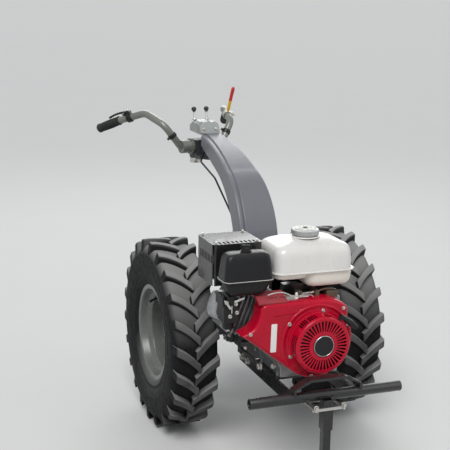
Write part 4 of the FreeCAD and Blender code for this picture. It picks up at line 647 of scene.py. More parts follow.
# The rim's section: (across from its middle, radius) in millimetres, all the way round
RIM_SECTION = (
    (62, 166), (62.6, 158), (60.6, 151.5), (56, 148.6), (40, 147), (31, 141), (26.5, 131.5),
    (22, 128.2), (-22, 128.2), (-26.5, 131.5), (-31, 141), (-40, 147), (-56, 148.6),
    (-60.6, 151.5), (-62.6, 158), (-62, 166), (-60.2, 168.6), (-58, 166.5), (-58, 152.4),
    (-40, 151), (-27, 132.5), (27, 132.5), (40, 151), (58, 152.4), (58, 166.5), (60.2, 168.6),
)
DISC_FACE = 24
OPENINGS = 6
NUTS = 5


def make_rim(word, side, centre):
    form = Form()
    form.turn([(across * MM, radius * MM) for across, radius in RIM_SECTION], centre, X_AXIS, 120,
              ring=True)
    outward = X_AXIS * side
    back = centre - outward * DISC_FACE * MM
    holes = [ring_outline(0, 0, 0.035, 40)]
    for step in range(OPENINGS):
        angle = 2 * math.pi * step / OPENINGS
        holes.append(ring_outline(0.095 * math.cos(angle), 0.095 * math.sin(angle), 0.025, 36))
    form.pierced(ring_outline(0, 0, 0.129, 96), holes, back, outward, 0.006, 0.0012, Z_AXIS)
    for step in range(OPENINGS):
        angle = 2 * math.pi * step / OPENINGS
        place = back + frame_towards(outward, Z_AXIS) @ Vector((0.095 * math.cos(angle),
                                                                0.095 * math.sin(angle), 0.0052))
        form.turn([(0, 0.0292), (0.0016, 0.0284), (0.0022, 0.027), (0.0016, 0.0256), (0, 0.025)],
                  place, outward, 36, ring=True)
    for along in (0.0, 0.006):
        form.turn([(along - 0.003, 0.1285), (along, 0.1245), (along + 0.003, 0.1285)], back,
                  outward, 96, ring=True)
    form.turn([(0.006, 0.068), (0.0088, 0.0655), (0.0088, 0.041), (0.006, 0.0385)], back, outward,
              64, ring=True)
    form.done(f"rim_{word}_pressed", RIM, f"wheel_{word}", 40, [f"rim_{word}"])
    nuts = Form()
    for step in range(NUTS):
        angle = 2 * math.pi * (step + 0.5) / NUTS
        spot = Vector((0, math.cos(angle), math.sin(angle))) * 0.053
        nuts.bolt(back + outward * 0.0088 + spot, outward, 0.019)
        nuts.rod(back + outward * 0.018 + spot, back + outward * 0.027 + spot, 0.0055, 14)
    nuts.done(f"wheel_nuts_{word}", ZINC, f"wheel_{word}")
    valve = Form()
    foot = centre + Vector((0, 0.1, 0.1)) + outward * 0.012
    lean = Vector((outward.x * 0.9, -0.3, -0.3))
    valve.turn([(0, 0.0075), (0.006, 0.0062), (0.010, 0.0042), (0.026, 0.0038), (0.028, 0.0046),
                (0.036, 0.0046), (0.038, 0.003)], foot - Vector((0, 0.012, 0.012)) * 0.5, lean, 16)
    valve.done(f"tyre_valve_{word}", BLACK_PLASTIC, f"wheel_{word}")
    cap = Form()
    cap.turn([(0, 0.033), (0.004, 0.033), (0.010, 0.029), (0.014, 0.020), (0.0155, 0.0)], back +
             outward * 0.0165, outward, 40, caps=(True, False))
    cap.done(f"hub_cap_{word}", DARK_STEEL, f"wheel_{word}")


def make_wheels():
    for word, side in (("left", -1), ("right", 1)):
        low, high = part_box(f"tyre_{word}")
        centre = (low + high) / 2
        make_tyre(word, centre)
        make_rim(word, side, centre)


# Column

def arc_points(start, via, end, count):
    """Points along the arc from start through via to end, with the start left out."""
    (ax, ay), (bx, by), (cx, cy) = start, via, end
    spread = 2 * (ax * (by - cy) + bx * (cy - ay) + cx * (ay - by))
    ux = ((ax * ax + ay * ay) * (by - cy) + (bx * bx + by * by) * (cy - ay)
          + (cx * cx + cy * cy) * (ay - by)) / spread
    uy = ((ax * ax + ay * ay) * (cx - bx) + (bx * bx + by * by) * (ax - cx)
          + (cx * cx + cy * cy) * (bx - ax)) / spread
    first, last = math.atan2(ay - uy, ax - ux), math.atan2(cy - uy, cx - ux)
    swing = (last - first + math.pi) % (2 * math.pi) - math.pi
    radius = math.hypot(ax - ux, ay - uy)
    return [(ux + radius * math.cos(first + swing * step / count),
             uy + radius * math.sin(first + swing * step / count)) for step in range(1, count + 1)]


def line_points(start, end, count):
    return [(start[0] + (end[0] - start[0]) * step / count,
             start[1] + (end[1] - start[1]) * step / count) for step in range(1, count + 1)]


# The cover's side outline in millimetres from the wheel axis, front and back: (back, up)
COLUMN_BASE, COLUMN_KNEE, COLUMN_BEND, COLUMN_END = (-100, 470), (-72, 670), (115, 861), (428, 940)
COLUMN_LOW_VIA, COLUMN_HIGH_VIA = (-2.5, 789.5), (265.5, 912.5)
INNER_BASE, INNER_KNEE, INNER_BEND, INNER_END = (10, 470), (10, 670), (207, 834), (428, 898)
INNER_VIA = (91.5, 769)


def column_half_width(back):
    return 72.5 - 32.5 * (back + 100) / 528


def make_column():
    """The arched cover: a rounded bead, a groove and a raised band run down its front."""
    front = [COLUMN_BASE] + line_points(COLUMN_BASE, COLUMN_KNEE, 8)
    front += arc_points(COLUMN_KNEE, COLUMN_LOW_VIA, COLUMN_BEND, 26)
    front += arc_points(COLUMN_BEND, COLUMN_HIGH_VIA, COLUMN_END, 20)
    inner = [INNER_BASE] + line_points(INNER_BASE, INNER_KNEE, 8)
    inner += arc_points(INNER_KNEE, INNER_VIA, INNER_BEND, 26)
    inner += line_points(INNER_BEND, INNER_END, 20)
    loops = []
    for ahead, behind in zip(front, inner):
        ahead, behind = Vector(ahead), Vector(behind)
        depth = (behind - ahead).length
        inward = (behind - ahead) / depth
        half = column_half_width(ahead.x)
        # (side of the middle, distance in from that side's edge, depth below the front)
        bead = min(10, depth * 0.2)
        quarter = [math.radians(90 * step / 6) for step in range(7)]
        edge = [(-1, 0, depth * share) for share in (1, 0.985, 0.75, 0.5, 0.32)]
        edge += [(-1, bead * (1 - math.cos(turn)), bead * (1 - math.sin(turn))) for turn in quarter]
        edge += [(-1, 14.5, 0.2), (-1, 17, 1.6), (-1, 18.2, 3.4), (-1, 19.6, 3.6), (-1, 21, 1.5),
                 (-1, 21.8, -1.2), (-1, 23.2, -2.6), (-1, 26, -3)]
        edge += [(1, 9, -3), (1, 6, -2.7), (1, 4.4, -1.4)]
        edge += [(1, 4 * (1 - math.cos(turn)), 4 * (1 - math.sin(turn)) - 0.4)
                 for turn in reversed(quarter)]
        edge += [(1, 0, depth * share) for share in (0.32, 0.5, 0.75, 0.985, 1)]
        loop = []
        for hand, inset, down in edge:
            spot = ahead + inward * down
            wide = column_half_width(spot.x) if inset == 0 else half
            loop.append(at(hand * (wide - inset), spot.x, spot.y))
        loops.append(loop)
    form = Form()
    form.skin(loops, caps=(False, True), closed=False)
    form.done("column_pressed", COLUMN_GREY, "chassis", 40, ["column_cover"],
              wall=0.0033)


# Tank, cap and air cleaner

# The upper pressing: (drawn in across, drawn in along, height over the seam) in millimetres
TANK_DOME = ((0, 0, 0), (0.6, 0.4, 20), (1.8, 1.2, 38), (3.4, 2.4, 52), (6, 4.5, 62), (10, 8, 70),
             (17, 14, 76.5), (27, 22, 81), (42, 33, 85.5), (60, 47, 90), (80, 62, 94), (98, 76, 96.2),
             (112, 86, 96.8))
TANK_BELLY = ((0, 0, 0), (0.8, 0.8, -14), (2.5, 2.5, -30), (6, 6, -40), (12, 12, -47), (20, 20, -51))
TANK_LIP = 0.008
TANK_STEP_X = -0.028
TANK_STEP_RISE = 0.030


def pressing(form, middle, half_across, half_along, radius, table, grow=1.0):
    """Rounded outlines stacked over a seam, each drawn in by its row of a table."""
    loops = []
    for across, along, up in table:
        outline = box_outline(half_across - across * MM, half_along - along * MM,
                              max(radius - min(across, along) * MM * 0.6, 0.004), 8)
        loops.append([middle + Vector((point.x, point.y, up * MM * grow)) for point in outline])
    form.skin(loops)


def make_tank():
    low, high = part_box("fuel_tank")
    across, along = (high.x - low.x) / 2, (high.y - low.y) / 2
    seam = 0.655
    middle = Vector(((low.x + high.x) / 2, (low.y + high.y) / 2, seam))
    upper = Form()
    pressing(upper, middle, across - TANK_LIP, along - TANK_LIP, 0.034, TANK_DOME)
    upper.turn([(0, 0.047), (0.0016, 0.0465), (0.003, 0.044), (0.003, 0.036)],
               Vector((0, here(0, -0.449, 0).y, high.z - 0.0022)), Z_AXIS, 64)
    upper.done("tank_upper", WHITE, "chassis", 50, ["fuel_tank"])
    lip = Form()
    flat = box_outline(across, along, 0.04, 8)
    lip.plate(flat, middle - Vector((0, 0, 0.0024)), Z_AXIS, 0.0048, 0.0016, Y_AXIS)
    lip.done("tank_seam", WHITE, "chassis", 50)
    lower = Form()
    split = TANK_STEP_X
    left_half, right_half = (split - low.x - TANK_LIP) / 2, (high.x - TANK_LIP - split) / 2
    left = Vector((low.x + TANK_LIP + left_half, middle.y, seam))
    right = Vector((high.x - TANK_LIP - right_half, middle.y, seam))
    pressing(lower, left + Vector((0.006, 0, 0)), left_half + 0.006, along - TANK_LIP, 0.03,
             TANK_BELLY, 0.44)
    pressing(lower, right, right_half, along - TANK_LIP, 0.03, TANK_BELLY)
    lower.done("tank_lower", TANK_BEIGE, "chassis", 50)


def make_cap():
    low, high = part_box("fuel_cap")
    middle = Vector(((low.x + high.x) / 2, (low.y + high.y) / 2, low.z))
    radius = (high.x - low.x) / 2
    form = Form()
    loops = []
    ribs = 44
    for inset, up, depth in ((0.007, 0, 0), (0.0035, 0.003, 0), (0.0012, 0.0045, 0.6),
                             (0.0, 0.007, 1), (0.0, 0.0165, 1), (0.001, 0.0185, 0.6),
                             (0.003, 0.0198, 0), (0.006, 0.0206, 0), (0.016, 0.0206, 0),
                             (0.0185, 0.0196, 0), (0.03, 0.0192, 0)):
        loop = []
        for step in range(ribs * 4):
            angle = 2 * math.pi * step / (ribs * 4)
            groove = 0.0013 * depth * (step % 4 == 0)
            reach = radius - inset - groove
            loop.append(middle + Vector((reach * math.cos(angle), reach * math.sin(angle), up)))
        loops.append(loop)
    form.skin(loops)
    form.done("fuel_cap_knurled", CAP_METAL, "chassis", 30, ["fuel_cap"])
    grip = Form()
    lobed = [Vector((math.cos(angle), math.sin(angle))) * (0.0335 + 0.0022 * math.cos(6 * angle))
             for angle in (2 * math.pi * step / 96 for step in range(96))]
    grip.plate(lobed, middle + Vector((0, 0, 0.0194)), Z_AXIS, 0.0034, 0.0012, Y_AXIS)
    for turned in (0.35, 0.35 + math.pi / 2):
        outline = [Vector((0.030 * math.cos(angle) * (0.72 + 0.28 * abs(math.cos(angle))),
                           0.0095 * math.sin(angle)))
                   for angle in (2 * math.pi * step / 40 for step in range(40))]
        grip.plate(outline, middle + Vector((0, 0, 0.0215)), Z_AXIS, 0.0030, 0.0012,
                   Vector((-math.sin(turned), math.cos(turned), 0)))
    grip.done("fuel_cap_grip", CAP_PALE, "chassis", 35)


def make_air_cleaner():
    low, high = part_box("air_cleaner_cover")
    cover = Form()
    loops = []
    middle = (low + high) / 2
    half = (high - low) / 2
    height = high.z - low.z
    for inset, rise in ((0.0016, 0), (0.0006, 0.0022), (0.0012, 0.012), (0.0030, 0.034),
                        (0.0052, 0.056), (0.0070, 0.067), (0.0096, 0.0765), (0.014, 0.0828),
                        (0.0205, 0.0866), (0.029, 0.0884), (0.038, 0.089)):
        outline = box_outline(half.x - inset, half.y - inset, 0.019 - min(inset, 0.01) * 0.4, 8)
        loops.append([Vector((middle.x + point.x, middle.y + point.y, low.z + rise * height / 0.089))
                      for point in outline])
    cover.skin(loops)
    cover.done("air_cleaner_shell", BLACK_PLASTIC, "chassis", 50, ["air_cleaner_cover"])
    seam = Form()
    belt = box_outline(half.x + 0.0020, half.y + 0.0020, 0.021, 8)
    seam.plate(belt, Vector((middle.x, middle.y, low.z - 0.0022)), Z_AXIS, 0.0054, 0.0018, Y_AXIS)
    seam.done("air_cleaner_seams", BLACK_PLASTIC, "chassis", 50)
    base_low, base_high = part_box("air_cleaner_base")
    base = Form()
    middle_base, half_base = (base_low + base_high) / 2, (base_high - base_low) / 2
    base.skin([[Vector((middle_base.x + point.x, middle_base.y + point.y, base_low.z + rise))
                for point in box_outline(half_base.x - inset, half_base.y - inset, 0.020, 8)]
               for inset, rise in ((0.030, 0), (0.021, 0.0012), (0.0150, 0.0045), (0.0105, 0.0105),
                                   (0.0065, 0.022), (0.003, 0.036), (0.002, 0.0455))])
    base.done("air_cleaner_tray", BLACK_PLASTIC, "chassis", 50, ["air_cleaner_base"])
    # A pale bead round the seam: painted highlight standing in for the light caught on the flange's
    # edge.
    painted_highlight_bead = Form()
    edge = [Vector((middle.x + point.x, middle.y + point.y, low.z + 0.0046))
            for point in box_outline(half.x + 0.0012, half.y + 0.0012, 0.020, 8)]
    painted_highlight_bead.pipe(edge + edge[:1], 0.0010, 8)
    painted_highlight_bead.done("air_cleaner_seam_highlight", CAP_PALE, "chassis", 60)
    knob_low, knob_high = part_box("air_cleaner_knob")
    spot = (knob_low + knob_high) / 2
    knob = Form()
    knob.turn([(0, 0.017), (0.002, 0.0168), (0.0035, 0.013), (0.010, 0.012), (0.0125, 0.009),
               (0.013, 0.0)], Vector((spot.x, spot.y, knob_low.z)), Z_AXIS, 36, caps=(True, False))
    wing = [Vector((0.017 * math.cos(angle) * (0.8 + 0.2 * math.cos(2 * angle)),
                    0.0042 * math.sin(angle) + 0.0012 * math.sin(angle) * math.cos(2 * angle)))
            for angle in (2 * math.pi * step / 40 for step in range(40))]
    knob.plate(wing, Vector((spot.x, spot.y, knob_low.z + 0.004)), Z_AXIS,
               knob_high.z - knob_low.z - 0.004, 0.0016, Vector((0.35, 0.94, 0)))
    knob.done("air_cleaner_wing_knob", BLACK_PLASTIC, "chassis", 40, ["air_cleaner_knob"])


# Engine covers

# The shroud's outline seen from the front, in millimetres from the crank: (across, up)
SHROUD_OUTLINE = (
    (-248, 38), (-206, 56), (-190, 86), (-185, 132), (40, 132), (78, 122), (108, 100), (108, 57),
)
CRANK_Z = 0.441
SHROUD_RING = 0.122
SHROUD_FRONT, SHROUD_BACK = -0.560, -0.500
STARTER_RIM = 0.104
VENT_ANGLES = (-16, 20, 41)


def shroud_edge():
    """The outline anticlockwise seen from the front, its corners rounded. Metres."""
    crest = [Vector(point) for point in SHROUD_OUTLINE]
    soft = [crest[0]]
    for before, corner, after, reach in zip(crest, crest[1:], crest[2:], (34, 26, 26, 30, 20, 24)):
        size = min(reach, 0.48 * (before - corner).length, 0.48 * (after - corner).length)
        leave = corner + (before - corner).normalized() * size
        enter = corner + (after - corner).normalized() * size
        for step in range(9):
            share = step / 8
            soft.append(leave * (1 - share) ** 2 + corner * 2 * share * (1 - share)
                        + enter * share ** 2)
    start, end = math.atan2(57, 108), math.atan2(-118, -74)
    round_foot = [Vector((math.cos(angle), math.sin(angle))) * SHROUD_RING / MM
                  for angle in (start + (end - start) * step / 48 for step in range(49))]
    foot, tip = round_foot[-1], crest[0]
    lower = [foot + (tip - foot) * step / 10 for step in range(1, 10)]
    return [point * MM for point in reversed(soft + round_foot + lower)]


def make_shroud():
    """The crimson fan cover: one pressing, open at its back, with a rolled front edge."""
    outline = shroud_edge()
    front = here(0, SHROUD_FRONT, CRANK_Z)
    spin = frame_towards(-Y_AXIS, Z_AXIS)
    cover = Form()
    cover.skin([[front + spin @ Vector((point.x, point.y, -depth))
                 for point in shrunk(outline, inset)]
                for inset, depth in ((0, 0.060), (0, 0.044), (0, 0.028), (0, 0.016),
                                     (0.0007, 0.0105), (0.0024, 0.0058), (0.0052, 0.0024),
                                     (0.0090, 0.0006), (0.0130, 0))], caps=(False, False))
    flat = shrunk(outline, 0.0130)
    hollow = ring_outline(0, 0, 0.0912, 72)
    ring = [[Vector((point.x, point.y, 0)) for point in loop] for loop in (flat, hollow)]
    corners = [cover.mesh.verts.new(front + spin @ point) for loop in ring for point in loop]
    for triple in tessellate_polygon(ring):
        cover.mesh.faces.new([corners[index] for index in triple])
    bmesh.ops.remove_doubles(cover.mesh, verts=cover.mesh.verts, dist=0.00001)
    cover.done("fan_shroud_pressed", RED, "chassis", 50, ["fan_shroud"],
               wall=0.0025)


def make_shroud_fittings():
    middle = here(0, SHROUD_FRONT, CRANK_Z)
    ring = Form()
    ring.turn([(0, 0.1190), (0.0018, 0.1180), (0.0030, 0.1160), (0.0032, 0.1135), (0.0026, 0.1112),
               (0, 0.1100)], middle, -Y_AXIS, 120, ring=True)
    step_line = [middle + Vector((x, 0.0002, z)) for x, z in
                 ((-0.146, 0.094), (-0.100, 0.0975), (-0.066, 0.100), (-0.053, 0.106))]
    ring.pipe(curve_through(step_line, 10), 0.0024, 10)
    ring.done("fan_shroud_ring", RED, "chassis", 50)
    screws = Form()
    for angle in (24, 146, 262):
        turn = math.radians(angle)
        screws.bolt(middle + Vector((0.1135 * math.cos(turn), -0.003, 0.1135 * math.sin(turn))),
                    -Y_AXIS, 0.0085)
    for x, z in ((-0.220, 0.042), (0.088, 0.097)):
        screws.bolt(middle + Vector((x, 0, z)), -Y_AXIS, 0.0075)
    screws.done("fan_shroud_screws", ZINC, "chassis")
    label = Form()
    label.plate(box_outline(0.0095, 0.045, 0.0025, 4), middle + Vector((-0.1440, 0.0002, 0.0230)),
                -Y_AXIS, 0.0011, 0.0003, Vector((0.02, 0, 1)))
    label.done("blank_label", LABEL, "chassis")
    # The ridged plate over the shroud's top is in the darker crimson: painted shade.
    tray = Form()
    slope = []
    ribs = 6
    for step in range(ribs * 8 + 1):
        share = step / (ribs * 8)
        crest = 0.0036 * (0.5 - 0.5 * math.cos(2 * math.pi * step / 8))
        y, z = -0.556 + 0.054 * share, 0.5750 + 0.022 * share + crest
        slope.append([here(-0.192, y, z), here(-0.100, y, z), here(-0.096, y + 0.001, z - 0.005),
                      here(-0.194, y + 0.001, z - 0.005)])
    tray.skin(slope)
    tray.done("shroud_ridged_top", RED_PAINTED_SHADE, "chassis", 60)


def vented_wall(form, middle, stations, cuts):
    """A wall turned about the crank's line, with a gap left wherever a vent passes. The stations
    are (back, radius), a vent is (from degrees, to degrees, from back, to back), and its angles
    run from the top towards -X."""
    turns = {float(turn) for turn in range(0, 360, 4)}
    for first, last, _, _ in cuts:
        turns.update((first % 360, last % 360))
    turns = sorted(turns)
    rows = []
    for back, radius in stations:
        rows.append([form.mesh.verts.new(middle + Y_AXIS * back + Vector(
            (-math.sin(math.radians(turn)), 0, math.cos(math.radians(turn)))) * radius)
            for turn in turns])
    for (near, near_row), (far, far_row) in zip(zip(stations, rows), zip(stations[1:], rows[1:])):
        depth = (near[0] + far[0]) / 2
        for index, turn in enumerate(turns):
            after = (index + 1) % len(turns)
            centre = (turn + (turns[after] - turn) % 360 / 2) % 360
            if any((centre - first) % 360 < (last - first) and start < depth < end
                   for first, last, start, end in cuts):
                continue
            form.mesh.faces.new((near_row[index], near_row[after], far_row[after],
                                 far_row[index]))


def make_starter():
    """The pull starter's slotted cup, its flange, the fan inside, the centre disc and its ring, and the
    screws.
    """
    middle = here(0, -0.612, CRANK_Z)
    face = Form()
    spin_up = Z_AXIS
    slots = []
    count = 40
    for step in range(count):
        angle = 2 * math.pi * (step + 0.5) / count
        slots.append(slot_outline(0.046, 0.0785, 0.0017, 0.0034, angle))
    face.pierced(ring_outline(0, 0, 0.0850, 120), slots + [ring_outline(0, 0, 0.0315, 60)],
                 middle + Y_AXIS * 0.003, -Y_AXIS, 0.003, 0.0004, spin_up)
    face.done("starter_grille", RED, "chassis", 50, ["recoil_starter"])
    cuts = []
    for turn in VENT_ANGLES:
        for step in range(4):
            start = turn - 9 + step * 4.8
            cuts.append((start, start + 2.9, 0.0105, 0.040))
    for start, end in ((0.0090, 0.0150), (0.0200, 0.0260), (0.0310, 0.0370)):
        cuts.append((68, 112, start, end))
    backs = sorted({0.0062, 0.047} | {edge for cut in cuts for edge in cut[2:]})
    stations = [(-0.0004, 0.0835), (0.0004, 0.0862), (0.0026, 0.0888)]
    stations += [(back, 0.0903 + (back - 0.0062) * 0.05) for back in backs]
    stations += [(0.0476, 0.0932), (0.0480, 0.0960), (0.0480, 0.1030), (0.0488, 0.1040),
                 (0.0518, 0.1040)]
    wall = Form()
    vented_wall(wall, middle, stations, cuts)
    wall.done("starter_cup_wall", RED, "chassis", 45, wall=0.0015)
    inside = Form()
    inside.turn([(0, 0.0), (0, 0.028), (0.004, 0.052), (0.004, 0.082), (0.012, 0.084),
                 (0.012, 0.050), (0.010, 0.0)], middle + Y_AXIS * 0.014, Y_AXIS, 72,
                caps=(False, False))
    for step in range(18):
        angle = 2 * math.pi * step / 18
        root = middle + Y_AXIS * 0.020
        first = Vector((math.cos(angle), 0, math.sin(angle)))
        second = Vector((math.cos(angle + 0.16), 0, math.sin(angle + 0.16)))
        inside.skin([[root + first * 0.040, root + first * 0.040 - Y_AXIS * 0.009,
                      root + first * 0.042 - Y_AXIS * 0.009, root + first * 0.042],
                     [root + second * 0.080, root + second * 0.080 - Y_AXIS * 0.009,
                      root + second * 0.082 - Y_AXIS * 0.009, root + second * 0.082]])
    inside.done("flywheel_fan", BLACK_PLASTIC, "chassis", 40)
    disc = Form()
    disc.turn([(0, 0.033), (0.0022, 0.033), (0.0034, 0.0322), (0.0038, 0.0305), (0.0030, 0.0285),
               (0.0026, 0.0), ], middle, -Y_AXIS, 64, caps=(True, False))
    disc.done("starter_centre", BLACK_PLASTIC, "chassis", 40, ["starter_disc"])
    rim = Form()
    rim.turn([(0.0012, 0.0330), (0.0028, 0.0338), (0.0040, 0.0330), (0.0044, 0.0318),
              (0.0036, 0.0308)], middle, -Y_AXIS, 64, ring=True)
    rim.done("starter_centre_ring", BRIGHT_ALLOY, "chassis", 40)
    screws = Form()
    for angle in (80, 205, 325):
        turn = math.radians(angle)
        place = here(0.0985 * math.cos(turn), -0.5640, CRANK_Z + 0.0985 * math.sin(turn))
        screws.bolt(place, -Y_AXIS, 0.0075)
    screws.done("starter_screws", ZINC, "chassis")


# Engine and intake

def make_valve_cover():
    """The pressed valve cover: a glossy bulb with a flange, a ridge and four bolts."""
    low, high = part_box("valve_cover")
    lean = math.radians(20)
    out = Vector((-math.cos(lean), 0, math.sin(lean)))
    up = Vector((math.sin(lean), 0, math.cos(lean)))
    crank = here(0, -0.415, CRANK_Z)
    form = Form()
    loops = []
    for inset, along in ((-0.002, 0.262), (-0.002, 0.266), (0.0045, 0.267), (0.0050, 0.272),
                         (0.0056, 0.290), (0.0075, 0.303), (0.011, 0.311), (0.017, 0.3165),
                         (0.025, 0.3188), (0.033, 0.3195)):
        outline = box_outline(0.050 - inset, 0.040 - inset, 0.020, 8)
        loops.append([crank + out * along + up * point.x + Y_AXIS * point.y for point in outline])
    form.skin(loops)
    form.done("valve_cover_pressed", BRIGHT_ALLOY, "chassis", 50, ["valve_cover"])
    ridge = Form()
    path = [crank + out * along + up * across for along, across in
            ((0.284, 0.0425), (0.300, 0.0400), (0.3105, 0.0350), (0.3170, 0.0240), (0.3190, 0.0),
             (0.3170, -0.0240), (0.3105, -0.0350), (0.300, -0.0400), (0.284, -0.0425))]
    ridge.pipe(curve_through(path), 0.0022, 10)
    ridge.done("valve_cover_ridge", BRIGHT_ALLOY, "chassis", 50)
    bolts = Form()
    for across in (-0.043, 0.043):
        for along_y in (-0.034, 0.034):
            bolts.bolt(crank + out * 0.2655 + up * across + Y_AXIS * along_y, out, 0.007,
                       washer=False)
    bolts.done("valve_cover_bolts", ZINC, "chassis")


def make_carburettor():
    """The carburettor: body with flanges, bowl, drain, choke and throttle levers and a cable."""
    low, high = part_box("carburettor")
    middle = (low + high) / 2
    body = Form()
    body.block((low.x + 0.006, low.y + 0.002, low.z + 0.030), (high.x - 0.006, high.y - 0.002,
               high.z - 0.012), 0.006, 0.003)
    body.block((low.x, low.y + 0.001, high.z - 0.030), (low.x + 0.007, high.y - 0.001, high.z),
               0.003, 0.001)
    body.turn([(0, 0.019), (0.001, 0.0198), (0.004, 0.0198), (0.006, 0.0185), (0.022, 0.0175),
               (0.026, 0.0150), (0.028, 0.0)],
              Vector((middle.x, middle.y, low.z + 0.030)), -Z_AXIS, 36, caps=(True, False))
    body.rod(Vector((middle.x - 0.008, low.y + 0.004, high.z - 0.034)),
             Vector((middle.x - 0.008, low.y - 0.002, high.z - 0.034)), 0.010, 24)
    body.block((low.x + 0.014, low.y + 0.004, high.z - 0.016), (high.x - 0.016, high.y - 0.006,
               high.z), 0.004, 0.002)
    body.done("carburettor_body", BLACK_PLASTIC, "chassis", 40, ["carburettor"])
    metal = Form()
    metal.bolt(Vector((middle.x, middle.y, low.z + 0.004)), -Z_AXIS, 0.010)
    for x, z in ((-0.018, -0.006), (0.012, -0.012), (-0.006, -0.050), (0.016, -0.040)):
        metal.bolt(Vector((middle.x + x, low.y + 0.0015, high.z + z - 0.012)), -Y_AXIS, 0.008)
    lever = [Vector((-0.0035, -0.004)), Vector((0.0035, -0.004)), Vector((0.0028, 0.030)),
             Vector((-0.0028, 0.030))]
    metal.plate(rounded(lever, 0.003), Vector((middle.x - 0.008, low.y - 0.0025, high.z - 0.034)),
                -Y_AXIS, 0.0016, 0.0003, Vector((-0.6, 0, 0.8)))
    metal.plate(rounded(lever, 0.003), Vector((middle.x + 0.010, low.y - 0.001, high.z - 0.016)),
                -Y_AXIS, 0.0016, 0.0003, Vector((0.9, 0, 0.3)))
    metal.pipe([Vector((middle.x - 0.002, low.y - 0.001, high.z - 0.052)),
                Vector((middle.x - 0.002, low.y - 0.001, high.z - 0.028))], 0.0022, 8)
    metal.done("carburettor_fittings", ZINC, "chassis")



def make_linkage():
    """The governor's arm, rods, springs and brackets between the shroud and the tank."""
    form = Form()
    form.pipe(curve_through([at(-162, -545, 598), at(-140, -547, 603), at(-114, -548, 603),
                             at(-92, -550, 594), at(-74, -550, 583)]), 0.0023, 10)
    form.pipe(curve_through([at(-88, -553, 588), at(-60, -553, 589.5), at(-30, -553, 589),
                             at(-18, -553, 587), at(-13, -553, 581)]), 0.0015, 8)
    arm = rounded([Vector((-0.006, 0)), Vector((0.006, 0)), Vector((0.0045, 0.052)),
                   Vector((-0.0045, 0.052))], 0.004)
    form.plate(arm, at(-128, -534, 576.5), Z_AXIS, 0.0022, 0.0004, Vector((0.9, 0.35, 0)))
    for x, y, z, size in ((-122, -531, 578, 0.010), (-146, -512, 576, 0.010),
                          (-74, -512, 576, 0.008), (30, -470, 576, 0.009), (66, -488, 573, 0.010)):
        form.bolt(at(x, y, z), Z_AXIS, size)
    form.done("governor_arm", ZINC, "chassis")
    spring = Form()
    spring.coil(at(-146, -518, 583), at(-92, -518, 583), 0.0040, 0.0008, 16, 6)
    spring.coil(at(-40, -528, 586), at(2, -524, 588), 0.0034, 0.0007, 14, 6)
    spring.done("governor_springs", ZINC, "chassis")
    post = Form()
    post.turn([(0, 0.0060), (0.002, 0.0060), (0.003, 0.0046), (0.016, 0.0042), (0.019, 0.0030),
               (0.020, 0.0)], at(-62, -536, 576), Z_AXIS, 20, caps=(True, False))
    post.done("governor_post", LABEL, "chassis")
    brackets = Form()
    for low, high in (((-52, -518, 560), (-34, -492, 592)), ((10, -520, 562), (24, -470, 590)),
                      ((52, -512, 560), (92, -486, 582)), ((-30, -500, 560), (8, -480, 578))):
        brackets.block(at(*low), at(*high), 0.003, 0.002)
    brackets.pipe(curve_through([at(24, -505, 584), at(50, -508, 590), at(78, -506, 586),
                                 at(100, -494, 570)]), 0.0035, 10)
    brackets.done("engine_top_brackets", BRONZED, "chassis", 40)


def make_engine_fittings():
    """Bolts, plugs and webs on the engine's casting."""
    low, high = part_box("engine_block")
    form = Form()
    y = low.y + 0.002
    for x, z in ((low.x + 0.020, low.z + 0.040), (high.x - 0.018, low.z + 0.050),
                 (high.x - 0.018, high.z - 0.030)):
        form.bolt(Vector((x, y + 0.004, z)), -Y_AXIS, 0.012)
    form.bolt(Vector((low.x, low.y + 0.060, low.z + 0.022)), -X_AXIS, 0.016)
    form.bolt(Vector((high.x, low.y + 0.060, low.z + 0.022)), X_AXIS, 0.016)
    form.done("engine_bolts", ZINC, "chassis")
    filler = Form()
    spot = Vector((high.x - 0.002, low.y + 0.110, low.z + 0.070))
    filler.turn([(0, 0.016), (0.004, 0.016), (0.005, 0.013), (0.014, 0.013), (0.018, 0.012),
                 (0.020, 0.0)], spot, Vector((0.9, 0, 0.45)), 28, caps=(True, False))
    filler.done("oil_filler_plug", BLACK_PLASTIC, "chassis", 40)
    webs = Form()
    for step in range(5):
        x = low.x + 0.030 + step * (high.x - low.x - 0.060) / 4
        webs.block((x - 0.003, high.y - 0.002, low.z + 0.030), (x + 0.003, high.y + 0.004,
                   high.z - 0.060), 0.0015, 0.0015)
    webs.done("engine_webs", ALLOY, "chassis", 40)


# Front frame

def make_frame_fittings():
    form = Form()
    for side in (-1, 1):
        for y in (-0.345, -0.475):
            form.bolt(here(side * 0.085, y, 0.308), Z_AXIS, 0.014)
        for y in (-0.215, -0.260):
            form.bolt(here(side * 0.104, y, 0.281), Vector((side, 0, 0)), 0.016)
    form.done("frame_bolts", ZINC, "chassis")


def make_clamp_bolts():
    low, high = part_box("post_clamp")
    form = Form()
    middle = (low + high) / 2
    for side in (-1, 1):
        x = middle.x + side * 0.046
        form.bolt(Vector((x, low.y + 0.004, middle.z)), -Y_AXIS, 0.0105)
    form.done("clamp_bolt_heads", ZINC, "chassis")


